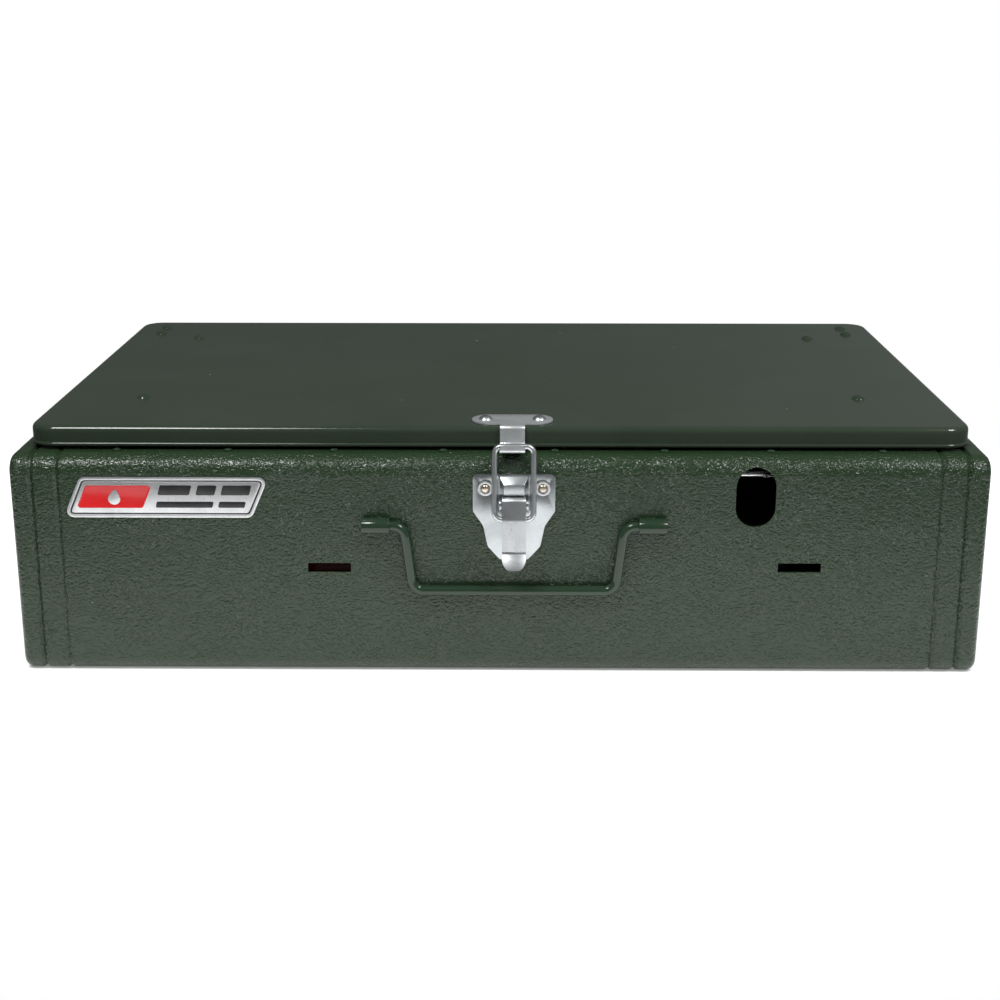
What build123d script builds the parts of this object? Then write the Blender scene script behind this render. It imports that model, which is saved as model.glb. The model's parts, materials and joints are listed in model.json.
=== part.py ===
"""Two-burner suitcase camping stove, closed and latched, with its fuel tank stored inside.

Frame: origin at the middle of the case floor, on the table. +X is to the right of a
person facing the latch, +Y is to the back, +Z is up. All lengths are millimetres.
"""
from build123d import *
import os

# ---------------------------------------------------------------- driving dimensions
CASE_WIDTH = 463.6
CASE_DEPTH = 296.0
CASE_HEIGHT = 108.2          # top of the shoulder that the lid closes on
SHEET = 1.2                  # case steel
SHOULDER_RADIUS = 9.0        # bend from the front and back walls into the shoulder
FLOOR_RADIUS = 7.0           # bend from the walls into the floor
WRAP_HALF = 221.4            # the wrapped front, floor and back stop here
LAP_HALF = 209.2             # the end panels reach this far inside the wrap
MOUTH_FRONT = -130.0         # the opening under the lid
MOUTH_BACK = 122.0
GROOVE = (3.2, 0.9)          # pressed line at each lap: width and depth
SEAM = (3.2, 1.1)            # V left where the wrap meets an end panel: width and depth
SPOT_WELD_X = 216.3          # dimple of the spot weld low on each lap
SPOT_WELD_Z = 20.7
SPOT_WELD_BALL = 4.0
SPOT_WELD_DEPTH = 0.4
BADGE_OUTLINE = [(-206.5, 78.5), (-117.1, 78.5), (-108.4, 98.4), (-197.8, 98.4)]
BADGE_CORNER = 3.5
BADGE_SHEET = 0.6

LID_HALF = 225.0
LID_FRONT = -134.7
LID_BACK = 135.2
LID_RIM_Z = 109.7
LID_TOP_Z = 119.6
LID_SHEET = 1.0
LID_CORNER = 12.0
LID_BEND = 3.0
LID_BEAD = 0.8               # how far the rolled rim stands out
LID_BEAD_HEIGHT = 2.0

HINGE_Y = 138.9              # lid hinge axis
HINGE_Z = 111.6
KNUCKLE_RADIUS = 2.3
HINGE_PIN_RADIUS = 1.2
HINGE_FIT = 0.05
HINGE_X = 140.0              # middle of each hinge
HINGE_LENGTH = 60.0
KNUCKLE_LENGTH = 20.0
KNUCKLE_GAP = 0.4
LEAF_RIVET_OFFSETS = (-20.0, 20.0)
CASE_LEAF_RIVETS = [(side * HINGE_X + a, 129.0) for side in (-1, 1) for a in LEAF_RIVET_OFFSETS]
LID_LEAF_RIVETS = [(side * HINGE_X + a, 114.5) for side in (-1, 1) for a in LEAF_RIVET_OFFSETS]
LEAF_SHANK = 1.3

GENERATOR_X = 121.3          # generator opening in the front wall
GENERATOR_HOLE_Z = 88.9
GENERATOR_HOLE = (29.0, 18.8)
TANK_SLOT = (20.5, 4.6)
TANK_SLOTS = [(143.4, 54.0), (-81.0, 53.5)]

HANDLE_X = 7.3               # carrying handle, a bent wire in two sleeves
HANDLE_Y = -150.9
HANDLE_Z = 75.3
HANDLE_WIRE = 4.8
HANDLE_HALF_TOP = 52.2
HANDLE_HALF_GRIP = 48.3
HANDLE_GRIP_Z = 43.2
HANDLE_BEND = 6.0
CLIP_OFFSET = 65.6
CLIP_LENGTH = 13.3
CLIP_RADIUS = 3.7

LATCH_X = 7.2                # draw latch
LATCH_PLATE = 1.2
PIVOT_Y = -153.4
PIVOT_Z = 86.6
PIVOT_RADIUS = 1.5
CRANK_Y = -154.2             # the bail's cross bar, held by the lever
CRANK_Z = 79.7
BAIL_Y = -149.0              # the bail's top bar, held by the strike
BAIL_Z = 113.8
BAIL_WIRE = 2.8
BAIL_HALF = 9.2
LEVER_HALF = 5.6
LEVER_SHEET = 1.2
STRIKE_X = 6.35
STRIKE_HALF = 5.95
STRIKE_SHEET = 1.1

BAFFLE_X = 207.5             # wind baffle hinge axis under the lid
BAFFLE_Z = 114.2
BAFFLE_WIRE = 1.5
BAFFLE_ROLL = 2.5
BAFFLE_SHEET = 0.8
BAFFLE_WIDTH = 88.0
BAFFLE_FRONT = -90.0
BAFFLE_BACK = 115.0
CLIP_SPOTS_Y = [-73.5, 83.5]
CLIP_RIVET_X = 182.0
STOP_RIVETS_Y = [96.5, 115.0]

GRATE_HALF_X = 210.0
GRATE_FRONT = -122.0
GRATE_BACK = 108.0
GRATE_REST_Z = 91.0
GRATE_FRAME_WIRE = 5.0
GRATE_BAR_WIRE = 3.4
GRATE_BARS = 15

SHELF_FRONT = -46.0
SHELF_BACK = 130.0
SHELF_HALF = 206.0
SHELF_Z = 44.0               # underside of the burner shelf
SHELF_SHEET = 1.2

MAIN_BURNER_X = GENERATOR_X
AUX_BURNER_X = -100.0
BURNER_Y = -2.0
BOWL_RADIUS = 36.0
BLOCK_TOP = 32.0
BLOCK_SIZE = (24.0, 24.0, 14.0)
TUBE_RADIUS = 7.0
TUBE_WALL = 1.5
CROSSOVER_RADIUS = 6.5
MIXER_Y = 48.0               # mouth that the generator blows into

TANK_X = -20.0               # fuel tank, stored in front of the burners
TANK_Y = -100.0
TANK_RADIUS = 36.0
TANK_Z = SHEET + TANK_RADIUS + 0.1
TANK_HALF = 120.0
TANK_DOME = 8.0
TANK_SHEET = 1.0
TANK_HOOK_SPAN = TANK_SLOTS[0][0] - TANK_SLOTS[1][0]
VALVE_X = TANK_X + 90.0
GENERATOR_Z = TANK_Z + 46.0
GENERATOR_RADIUS = 4.0
GENERATOR_TIP_Y = MIXER_Y + 92.0
FILLER_X = TANK_X - 45.0
AUX_STEM_RADIUS = 2.8

FRONT = Plane.XZ.offset(CASE_DEPTH / 2)      # outer face of the front wall, facing out
TO_FRONT = (90, 0, 0)                        # turns +Z to point out of the front wall
TO_BACK = (-90, 0, 0)
TO_LEFT = (0, -90, 0)
TO_RIGHT = (0, 90, 0)


# ------------------------------------------------------------------- shared forms
def case_outline(inset):
    """The case's outline seen from the end, moved in by inset."""
    with BuildSketch() as outline:
        with Locations((0, CASE_HEIGHT / 2)):
            Rectangle(CASE_DEPTH - 2 * inset, CASE_HEIGHT - 2 * inset)
        fillet(outline.vertices().group_by(Axis.Y)[-1], SHOULDER_RADIUS - inset)
        fillet(outline.vertices().group_by(Axis.Y)[0], FLOOR_RADIUS - inset)
    return outline.sketch


def groove_ring(middle, width, depth):
    """A V-shaped ring round the case at x = middle, for a pressed line or a seam."""
    with BuildPart() as ring:
        with BuildLine(Plane.YZ.offset(middle)) as route:
            FilletPolyline(
                (MOUTH_BACK - 5, CASE_HEIGHT), (CASE_DEPTH / 2, CASE_HEIGHT),
                (CASE_DEPTH / 2, 0), (-CASE_DEPTH / 2, 0), (-CASE_DEPTH / 2, CASE_HEIGHT),
                (MOUTH_FRONT + 5, CASE_HEIGHT),
                radius=[SHOULDER_RADIUS, FLOOR_RADIUS, FLOOR_RADIUS, SHOULDER_RADIUS],
            )
        with BuildSketch(Plane.XZ.offset(5 - MOUTH_BACK)):
            with BuildLine():
                Polyline(
                    (middle - width / 2, CASE_HEIGHT),
                    (middle, CASE_HEIGHT - depth),
                    (middle + width / 2, CASE_HEIGHT),
                    (middle, CASE_HEIGHT + depth), close=True,
                )
            make_face()
        sweep(path=route.wires()[0])
    return ring.part


def tray_form(half, front, back, low, high, corner, bend):
    """A block with rounded upright corners and a rounded top edge."""
    with BuildPart() as form:
        with BuildSketch(Plane.XY.offset(low)):
            with Locations((0, (front + back) / 2)):
                RectangleRounded(2 * half, back - front, corner)
        extrude(amount=high - low)
        fillet(form.faces().sort_by(Axis.Z)[-1].edges(), bend)
    return form.part


def bent_sheet(points, bend, thickness, low, high, plane=Plane.YZ):
    """Sheet bent along points in the plane, running from low to high across it."""
    with BuildPart() as form:
        with BuildSketch(plane.offset(low)):
            with BuildLine():
                FilletPolyline(*points, radius=bend)
            trace(line_width=thickness)
        extrude(amount=high - low)
    return form.part


def bent_wire(points, bend, diameter, closed=False):
    """Round wire bent along points."""
    with BuildPart() as form:
        with BuildLine() as route:
            FilletPolyline(*points, radius=bend, close=closed)
        with BuildSketch(Plane(origin=route.line @ 0, z_dir=route.line % 0)):
            Circle(diameter / 2)
        sweep(path=route.wires()[0])
    return form.part


def turned(outline):
    """A solid turned from an outline of (radius, height) points about the Z axis."""
    with BuildPart() as form:
        with BuildSketch(Plane.XZ):
            with BuildLine():
                Polyline(*outline, close=True)
            make_face()
        revolve(axis=Axis.Z)
    return form.part


def rivet(head, rise, shank, grip, tail, tail_height):
    """A domed rivet whose head sits at z = 0 and whose shank goes down."""
    with BuildPart() as form:
        with BuildSketch(Plane.XZ):
            with BuildLine():
                stem = Polyline(
                    (0, rise), (0, -grip - tail_height), (tail, -grip - tail_height),
                    (tail, -grip), (shank, -grip), (shank, 0), (head, 0),
                )
                RadiusArc(stem @ 1, (0, rise), -(head**2 + rise**2) / (2 * rise))
            make_face()
        revolve(axis=Axis.Z)
    return form.part


def knob_form(radius, height, grips, grip_radius):
    """A round knob with finger scallops, standing on z = 0."""
    with BuildPart() as form:
        Cylinder(radius, height, align=(Align.CENTER, Align.CENTER, Align.MIN))
        with PolarLocations(radius + grip_radius * 0.6, grips):
            Cylinder(
                grip_radius, height, align=(Align.CENTER, Align.CENTER, Align.MIN),
                mode=Mode.SUBTRACT,
            )
        fillet(form.faces().sort_by(Axis.Z)[-1].edges(), 0.8)
    return form.part


# ----------------------------------------------------------------------- case body
end_seam = groove_ring(WRAP_HALF, *SEAM)
pressed_lines = [groove_ring(side * LAP_HALF, *GROOVE) for side in (-1, 1)]

with BuildPart() as case_shell:
    with BuildSketch(Plane.YZ.offset(-WRAP_HALF)):
        add(case_outline(0))
        add(case_outline(SHEET), mode=Mode.SUBTRACT)
        with Locations(((MOUTH_FRONT + MOUTH_BACK) / 2, CASE_HEIGHT)):
            Rectangle(MOUTH_BACK - MOUTH_FRONT, 4 * SHEET, mode=Mode.SUBTRACT)
    extrude(amount=2 * WRAP_HALF)
    for line in pressed_lines:
        add(line, mode=Mode.SUBTRACT)
    add(end_seam, mode=Mode.SUBTRACT)
    mirror(end_seam, about=Plane.YZ, mode=Mode.SUBTRACT)
    with BuildSketch(FRONT):
        with Locations((GENERATOR_X, GENERATOR_HOLE_Z)):
            SlotOverall(*GENERATOR_HOLE, rotation=90)
        with Locations(*TANK_SLOTS):
            Rectangle(*TANK_SLOT)
    extrude(amount=-2.5 * SHEET, mode=Mode.SUBTRACT)
    with Locations(*[
        (side * SPOT_WELD_X, SPOT_WELD_DEPTH - SPOT_WELD_BALL - CASE_DEPTH / 2, SPOT_WELD_Z)
        for side in (-1, 1)
    ]):
        Sphere(SPOT_WELD_BALL, mode=Mode.SUBTRACT)
    with Locations(*[(x, y, CASE_HEIGHT) for x, y in CASE_LEAF_RIVETS]):
        Cylinder(LEAF_SHANK, 4 * SHEET, mode=Mode.SUBTRACT)

END_BAND = CASE_WIDTH / 2 - WRAP_HALF
END_ROUND = 4.0

with BuildPart() as end_cavity:
    with BuildSketch(Plane.YZ.offset(WRAP_HALF - 1)):
        add(case_outline(SHEET))
    extrude(amount=END_BAND + 1 - SHEET)
    fillet(end_cavity.faces().sort_by(Axis.X)[-1].edges(), END_ROUND - SHEET)

with BuildPart() as end_panel_right:
    with BuildSketch(Plane.YZ.offset(WRAP_HALF)):
        add(case_outline(0))
    extrude(amount=END_BAND)
    fillet(end_panel_right.faces().sort_by(Axis.X)[-1].edges(), END_ROUND)
    add(end_cavity.part, mode=Mode.SUBTRACT)
    add(end_seam, mode=Mode.SUBTRACT)
    with BuildSketch(Plane.YZ.offset(LAP_HALF)):
        add(case_outline(SHEET))
        add(case_outline(2 * SHEET), mode=Mode.SUBTRACT)
    extrude(amount=WRAP_HALF - LAP_HALF + 2)
    with BuildSketch(Plane.YZ.offset(LAP_HALF)):
        with Locations(((MOUTH_FRONT + MOUTH_BACK) / 2, CASE_HEIGHT)):
            Rectangle(MOUTH_BACK - MOUTH_FRONT, 8 * SHEET)
    extrude(amount=WRAP_HALF - LAP_HALF, mode=Mode.SUBTRACT)

with BuildPart() as end_panel_left:
    mirror(end_panel_right.part, about=Plane.YZ)
    with Locations(Location((-CASE_WIDTH / 2, BURNER_Y, BLOCK_TOP - 7), TO_LEFT)):
        Cylinder(AUX_STEM_RADIUS + 1.0, 8 * SHEET, mode=Mode.SUBTRACT)

with BuildPart() as badge_plate:
    with BuildSketch(FRONT):
        with BuildLine():
            FilletPolyline(*BADGE_OUTLINE, radius=BADGE_CORNER, close=True)
        make_face()
    extrude(amount=BADGE_SHEET)

# ------------------------------------------------------------------ carrying handle
with BuildPart() as handle_clips:
    with Locations(*[
        Location((HANDLE_X + side * CLIP_OFFSET, HANDLE_Y, HANDLE_Z), TO_RIGHT)
        for side in (-1, 1)
    ]):
        Cylinder(CLIP_RADIUS, CLIP_LENGTH)
    with Locations(*[
        (HANDLE_X + side * CLIP_OFFSET, (HANDLE_Y - CASE_DEPTH / 2) / 2, HANDLE_Z)
        for side in (-1, 1)
    ]):
        Box(CLIP_LENGTH, -HANDLE_Y - CASE_DEPTH / 2, 2 * CLIP_RADIUS)
    with Locations((HANDLE_X, 20 - CASE_DEPTH / 2, HANDLE_Z)):
        Box(CASE_WIDTH, 40, 40, mode=Mode.SUBTRACT)
    with Locations(Location((HANDLE_X, HANDLE_Y, HANDLE_Z), TO_RIGHT)):
        Cylinder(HANDLE_WIRE / 2 + 0.08, CASE_WIDTH, mode=Mode.SUBTRACT)

carry_handle_form = bent_wire(
    [
        (HANDLE_X - CLIP_OFFSET - 5.6, HANDLE_Y, HANDLE_Z),
        (HANDLE_X - HANDLE_HALF_TOP, HANDLE_Y, HANDLE_Z),
        (HANDLE_X - HANDLE_HALF_GRIP, HANDLE_Y, HANDLE_GRIP_Z),
        (HANDLE_X + HANDLE_HALF_GRIP, HANDLE_Y, HANDLE_GRIP_Z),
        (HANDLE_X + HANDLE_HALF_TOP, HANDLE_Y, HANDLE_Z),
        (HANDLE_X + CLIP_OFFSET + 5.6, HANDLE_Y, HANDLE_Z),
    ],
    HANDLE_BEND, HANDLE_WIRE,
)

with BuildPart() as carry_handle:
    add(carry_handle_form)

# ----------------------------------------------------------------------- draw latch
BASE_FACE = -CASE_DEPTH / 2 - LATCH_PLATE
BASE_OUTLINE = [                             # half outline: across, up, corner radius
    (19.45, 100.5, 2.5), (19.45, 82.3, 3.0), (14.6, 75.0, 6.0),
    (12.5, 64.8, 4.0), (6.6, 58.2, 2.5),
]
BASE_RIVETS = [(LATCH_X - 13.55, 93.75), (LATCH_X + 13.55, 93.75)]
EAR_NEAR = 5.9
EAR_FAR = 6.9

with BuildPart() as bridge_form:
    with BuildSketch(Plane.XZ.offset(-BASE_FACE)):
        with Locations((LATCH_X, 95.2)):
            Rectangle(13.6, 8.0)
    with BuildSketch(Plane.XZ.offset(-BASE_FACE + 3.8)):
        with Locations((LATCH_X, 93.7)):
            Rectangle(9.6, 5.0)
    loft()

with BuildPart() as bridge_hollow:
    with BuildSketch(Plane.XZ.offset(-BASE_FACE)):
        with Locations((LATCH_X, 94.0)):
            Rectangle(11.4, 8.0)
    with BuildSketch(Plane.XZ.offset(-BASE_FACE + 2.8)):
        with Locations((LATCH_X, 92.4)):
            Rectangle(8.0, 5.0)
    loft()

with BuildPart() as latch_base:
    with BuildSketch(FRONT):
        with BuildLine():
            FilletPolyline(
                *[(LATCH_X + a, z) for a, z, _ in BASE_OUTLINE],
                *[(LATCH_X - a, z) for a, z, _ in reversed(BASE_OUTLINE)],
                radius=[r for _, _, r in BASE_OUTLINE + BASE_OUTLINE[::-1]], close=True,
            )
        make_face()
        with Locations(*BASE_RIVETS):
            Circle(1.65, mode=Mode.SUBTRACT)
    extrude(amount=LATCH_PLATE)
    add(bridge_form.part)
    add(bridge_hollow.part, mode=Mode.SUBTRACT)
    for near in (LATCH_X - EAR_FAR, LATCH_X + EAR_NEAR):
        with BuildSketch(Plane.YZ.offset(near)):
            with Locations(((BASE_FACE + PIVOT_Y) / 2, PIVOT_Z)):
                Rectangle(BASE_FACE - PIVOT_Y, 5.6)
            with Locations((PIVOT_Y, PIVOT_Z)):
                Circle(2.8)
                Circle(PIVOT_RADIUS, mode=Mode.SUBTRACT)
        extrude(amount=EAR_FAR - EAR_NEAR)

with BuildPart() as latch_pivot_pin:
    with Locations(Location((LATCH_X, PIVOT_Y, PIVOT_Z), TO_RIGHT)):
        Cylinder(PIVOT_RADIUS, 2 * EAR_FAR)

with BuildPart() as latch_rivets:
    with BuildSketch(Plane.XZ.offset(-BASE_FACE)):
        with Locations(*BASE_RIVETS):
            Circle(3.6)
    extrude(amount=0.8)
    fillet(latch_rivets.faces().sort_by(Axis.Y)[0:2].edges(), 0.4)
    with Locations(*[Location((x, BASE_FACE - 0.5, z), TO_FRONT) for x, z in BASE_RIVETS]):
        Sphere(2.6)
    with Locations((LATCH_X, BASE_FACE + 5, PIVOT_Z)):
        Box(80, 10, 80, mode=Mode.SUBTRACT)
    with Locations(*[
        Location((x, BASE_FACE + LATCH_PLATE / 2, z), TO_FRONT) for x, z in BASE_RIVETS
    ]):
        Cylinder(1.6, LATCH_PLATE)

lever_strip = bent_sheet(
    [(-152.6, 89.9), (-155.2, 89.9), (-158.0, 80.7), (-158.0, 64.3), (-163.0, 57.3)],
    [2.0, 6.0, 3.0], LEVER_SHEET, LATCH_X - LEVER_HALF, LATCH_X + LEVER_HALF,
)
LEVER_EAR = [
    (-155.0, 89.6), (-152.8, 89.6), (-150.7, 87.6), (-150.7, 84.0),
    (-151.8, 77.8), (-153.4, 76.4), (-157.7, 76.4), (-157.7, 81.0),
]
LEVER_EAR_SHEET = 1.1

with BuildPart() as latch_lever:
    add(lever_strip)
    for near in (LATCH_X - LEVER_HALF, LATCH_X + LEVER_HALF - LEVER_EAR_SHEET):
        with BuildSketch(Plane.YZ.offset(near)):
            with BuildLine():
                Polyline(*LEVER_EAR, close=True)
            make_face()
            with Locations((PIVOT_Y, PIVOT_Z)):
                Circle(PIVOT_RADIUS + 0.06, mode=Mode.SUBTRACT)
            with Locations((CRANK_Y, CRANK_Z)):
                Circle(BAIL_WIRE / 2 + 0.08, mode=Mode.SUBTRACT)
        extrude(amount=LEVER_EAR_SHEET)
    with BuildSketch(FRONT.offset(20)):
        with Locations((LATCH_X, 57.3)):
            Rectangle(3 * LEVER_HALF, 10)
        with Locations((LATCH_X, 62.3)):
            Circle(LEVER_HALF, mode=Mode.SUBTRACT)
    extrude(amount=-20, mode=Mode.SUBTRACT)

bail_form = bent_wire(
    [
        (LATCH_X - BAIL_HALF, CRANK_Y, CRANK_Z), (LATCH_X + BAIL_HALF, CRANK_Y, CRANK_Z),
        (LATCH_X + BAIL_HALF, BAIL_Y, BAIL_Z), (LATCH_X - BAIL_HALF, BAIL_Y, BAIL_Z),
    ],
    3.4, BAIL_WIRE, closed=True,
)

with BuildPart() as latch_bail:
    add(bail_form)

# ---------------------------------------------------------------------------- lid
lid_outer = tray_form(LID_HALF, LID_FRONT, LID_BACK, LID_RIM_Z, LID_TOP_Z, LID_CORNER, LID_BEND)
lid_inner = tray_form(
    LID_HALF - LID_SHEET, LID_FRONT + LID_SHEET, LID_BACK - LID_SHEET,
    LID_RIM_Z - 1, LID_TOP_Z - LID_SHEET, LID_CORNER - LID_SHEET, LID_BEND - LID_SHEET,
)
with BuildPart() as lid_bead:
    with BuildSketch(Plane.XY.offset(LID_RIM_Z)):
        with Locations((0, (LID_FRONT + LID_BACK) / 2)):
            RectangleRounded(
                2 * (LID_HALF + LID_BEAD), LID_BACK - LID_FRONT + 2 * LID_BEAD,
                LID_CORNER + LID_BEAD,
            )
    extrude(amount=LID_BEAD_HEIGHT)
    fillet(lid_bead.faces().filter_by(Axis.Z).edges(), LID_BEAD_HEIGHT / 2 - 0.05)

BAFFLE_RIVETS = (
    [(side * CLIP_RIVET_X, y) for side in (-1, 1) for y in CLIP_SPOTS_Y]
    + [(side * BAFFLE_X, y) for side in (-1, 1) for y in STOP_RIVETS_Y]
)
STRIKE_RIVETS = [(STRIKE_X - 12.9, -122.6), (STRIKE_X + 12.9, -122.6)]
LID_RIVET_SHANK = 1.8

with BuildPart() as lid_shell:
    add(lid_outer)
    add(lid_bead.part)
    add(lid_inner, mode=Mode.SUBTRACT)
    with Locations(*[(x, y, LID_TOP_Z) for x, y in BAFFLE_RIVETS + STRIKE_RIVETS]):
        Cylinder(LID_RIVET_SHANK, 4 * LID_SHEET, mode=Mode.SUBTRACT)
    with Locations(*[Location((x, LID_BACK, z), TO_BACK) for x, z in LID_LEAF_RIVETS]):
        Cylinder(LEAF_SHANK, 4 * LID_SHEET, mode=Mode.SUBTRACT)

STRIKE_PLATE_HALF = 19.5
STRIKE_PLATE_DEPTH = 18.0
STRIKE_PLATE_Y = -122.5
strike_tongue = bent_sheet(
    [
        (-125.0, LID_TOP_Z + 0.55), (-136.2, LID_TOP_Z + 0.55), (-136.2, 111.5),
        (-151.3, 111.5), (-151.3, 115.0),
    ],
    [1.6, 1.4, 1.2], STRIKE_SHEET, STRIKE_X - STRIKE_HALF, STRIKE_X + STRIKE_HALF,
)

with BuildPart() as strike_plate:
    add(strike_tongue)
    with BuildSketch(Plane.XY.offset(LID_TOP_Z)):
        with Locations((STRIKE_X, STRIKE_PLATE_Y)):
            RectangleRounded(2 * STRIKE_PLATE_HALF, STRIKE_PLATE_DEPTH, 8.5)
        with Locations(*STRIKE_RIVETS):
            Circle(LID_RIVET_SHANK, mode=Mode.SUBTRACT)
    extrude(amount=STRIKE_SHEET)
    with BuildSketch(FRONT):
        with Locations((STRIKE_X, 115.0)):
            Rectangle(3 * STRIKE_HALF, 6)
        with Locations((STRIKE_X, 112.0)):
            RectangleRounded(2 * STRIKE_HALF, 6.0, 2.9, mode=Mode.SUBTRACT)
    extrude(amount=5, mode=Mode.SUBTRACT)

strike_rivet = rivet(3.4, 1.9, LID_RIVET_SHANK, STRIKE_SHEET + LID_SHEET, 2.6, 0.6)
with BuildPart() as strike_rivets:
    with Locations(*[(x, y, LID_TOP_Z + STRIKE_SHEET) for x, y in STRIKE_RIVETS]):
        add(strike_rivet)

baffle_rivet = rivet(3.6, 2.0, LID_RIVET_SHANK, LID_SHEET + 0.8, 2.8, 0.6)
with BuildPart() as baffle_rivets:
    with Locations(*[(x, y, LID_TOP_Z) for x, y in BAFFLE_RIVETS]):
        add(baffle_rivet)

# ------------------------------------------------------------------ lid hinges
CASE_KNUCKLES = [
    side * HINGE_X + end * (HINGE_LENGTH - KNUCKLE_LENGTH) / 2
    for side in (-1, 1) for end in (-1, 1)
]
LID_KNUCKLES = [-HINGE_X, HINGE_X]
CASE_LEAF = 0.9
LID_LEAF = 1.1

with BuildPart() as case_hinge_leaves:
    with Locations(*[(x, 132.5, CASE_HEIGHT + CASE_LEAF / 2) for x in LID_KNUCKLES]):
        Box(HINGE_LENGTH, 13.0, CASE_LEAF)
    with Locations(*[(x, HINGE_Y, (CASE_HEIGHT + HINGE_Z) / 2 + 0.2) for x in CASE_KNUCKLES]):
        Box(KNUCKLE_LENGTH, 3.0, HINGE_Z - CASE_HEIGHT - 0.4)
    with Locations(*[Location((x, HINGE_Y, HINGE_Z), TO_RIGHT) for x in CASE_KNUCKLES]):
        Cylinder(KNUCKLE_RADIUS, KNUCKLE_LENGTH)
    with Locations(Location((0, HINGE_Y, HINGE_Z), TO_RIGHT)):
        Cylinder(HINGE_PIN_RADIUS, CASE_WIDTH, mode=Mode.SUBTRACT)
    with Locations(*[(x, y, CASE_HEIGHT) for x, y in CASE_LEAF_RIVETS]):
        Cylinder(LEAF_SHANK, 6 * CASE_LEAF, mode=Mode.SUBTRACT)

with BuildPart() as hinge_pins:
    with Locations(*[Location((x, HINGE_Y, HINGE_Z), TO_RIGHT) for x in LID_KNUCKLES]):
        Cylinder(HINGE_PIN_RADIUS, HINGE_LENGTH + 1.6)

with BuildPart() as lid_hinge_leaves:
    with Locations(*[(x, LID_BACK + LID_LEAF / 2, 115.4) for x in LID_KNUCKLES]):
        Box(HINGE_LENGTH, LID_LEAF, 6.0)
    with Locations(*[(x, (LID_BACK + HINGE_Y) / 2, HINGE_Z + 1.7) for x in LID_KNUCKLES]):
        Box(KNUCKLE_LENGTH - 2 * KNUCKLE_GAP, HINGE_Y - LID_BACK, 1.2)
    with Locations(*[Location((x, HINGE_Y, HINGE_Z), TO_RIGHT) for x in LID_KNUCKLES]):
        Cylinder(KNUCKLE_RADIUS, KNUCKLE_LENGTH - 2 * KNUCKLE_GAP)
    with Locations(Location((0, HINGE_Y, HINGE_Z), TO_RIGHT)):
        Cylinder(HINGE_PIN_RADIUS + HINGE_FIT, CASE_WIDTH, mode=Mode.SUBTRACT)
    with Locations(*[
        Location((x, LID_BACK, z), TO_BACK) for x, z in LID_LEAF_RIVETS
    ]):
        Cylinder(LEAF_SHANK, 6 * LID_LEAF, mode=Mode.SUBTRACT)

leaf_rivet = rivet(2.3, 1.0, LEAF_SHANK, CASE_LEAF + SHEET, 2.0, 0.6)
with BuildPart() as case_leaf_rivets:
    with Locations(*[(x, y, CASE_HEIGHT + CASE_LEAF) for x, y in CASE_LEAF_RIVETS]):
        add(leaf_rivet)

lid_rivet = rivet(2.3, 1.0, LEAF_SHANK, LID_LEAF + LID_SHEET, 2.0, 0.6)
with BuildPart() as lid_leaf_rivets:
    with Locations(*[
        Location((x, LID_BACK + LID_LEAF, z), TO_BACK) for x, z in LID_LEAF_RIVETS
    ]):
        add(lid_rivet)

# ------------------------------------------------------------------- wind baffles
CLIP_STRAP = 14.0
STRAP_Z = LID_TOP_Z - LID_SHEET - BAFFLE_SHEET / 2
HOOK_HALF = BAFFLE_WIRE + BAFFLE_SHEET / 2 + 0.05
NOTCH_HALF = CLIP_STRAP / 2 + 3.0
NOTCH_REACH = 7.0
NARROW_WIDTH = 40.0
SLANT_START = 84.0

clip_form = bent_sheet(
    [
        (CLIP_RIVET_X - 8, STRAP_Z), (BAFFLE_X + HOOK_HALF, STRAP_Z),
        (BAFFLE_X + HOOK_HALF, BAFFLE_Z - HOOK_HALF), (BAFFLE_X - 2.6, BAFFLE_Z - HOOK_HALF),
    ],
    1.2, BAFFLE_SHEET, -CLIP_STRAP / 2, CLIP_STRAP / 2, plane=Plane.XZ,
)

with BuildPart() as baffle_clips:
    with Locations(*[(0, y, 0) for y in CLIP_SPOTS_Y]):
        add(clip_form)
    mirror(about=Plane.YZ)
    with Locations(*[(side * CLIP_RIVET_X, y, STRAP_Z) for side in (-1, 1) for y in CLIP_SPOTS_Y]):
        Cylinder(LID_RIVET_SHANK, 3 * BAFFLE_SHEET, mode=Mode.SUBTRACT)

STOP_TAB_Y = 119.0
with BuildPart() as baffle_stops:
    with Locations(*[(side * BAFFLE_X, 105.5, STRAP_Z) for side in (-1, 1)]):
        Box(15.0, 28.0, BAFFLE_SHEET)
    with Locations(*[(side * BAFFLE_X, STOP_TAB_Y, BAFFLE_Z + 1.2) for side in (-1, 1)]):
        Box(9.0, 1.0, 2 * (STRAP_Z + BAFFLE_SHEET / 2 - BAFFLE_Z - 1.2))
    with Locations(*[(side * BAFFLE_X, y, STRAP_Z) for side in (-1, 1) for y in STOP_RIVETS_Y]):
        Cylinder(LID_RIVET_SHANK, 3 * BAFFLE_SHEET, mode=Mode.SUBTRACT)
    with Locations(*[
        Location((side * BAFFLE_X, STOP_TAB_Y, BAFFLE_Z), TO_FRONT) for side in (-1, 1)
    ]):
        Cylinder(BAFFLE_WIRE, 4.0, mode=Mode.SUBTRACT)

WIRE_FRONT = BAFFLE_FRONT - 2.0
with BuildPart() as baffle_wires:
    with Locations(*[
        Location((side * BAFFLE_X, (WIRE_FRONT + STOP_TAB_Y + 0.5) / 2, BAFFLE_Z), TO_FRONT)
        for side in (-1, 1)
    ]):
        Cylinder(BAFFLE_WIRE, STOP_TAB_Y + 0.5 - WIRE_FRONT)

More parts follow.
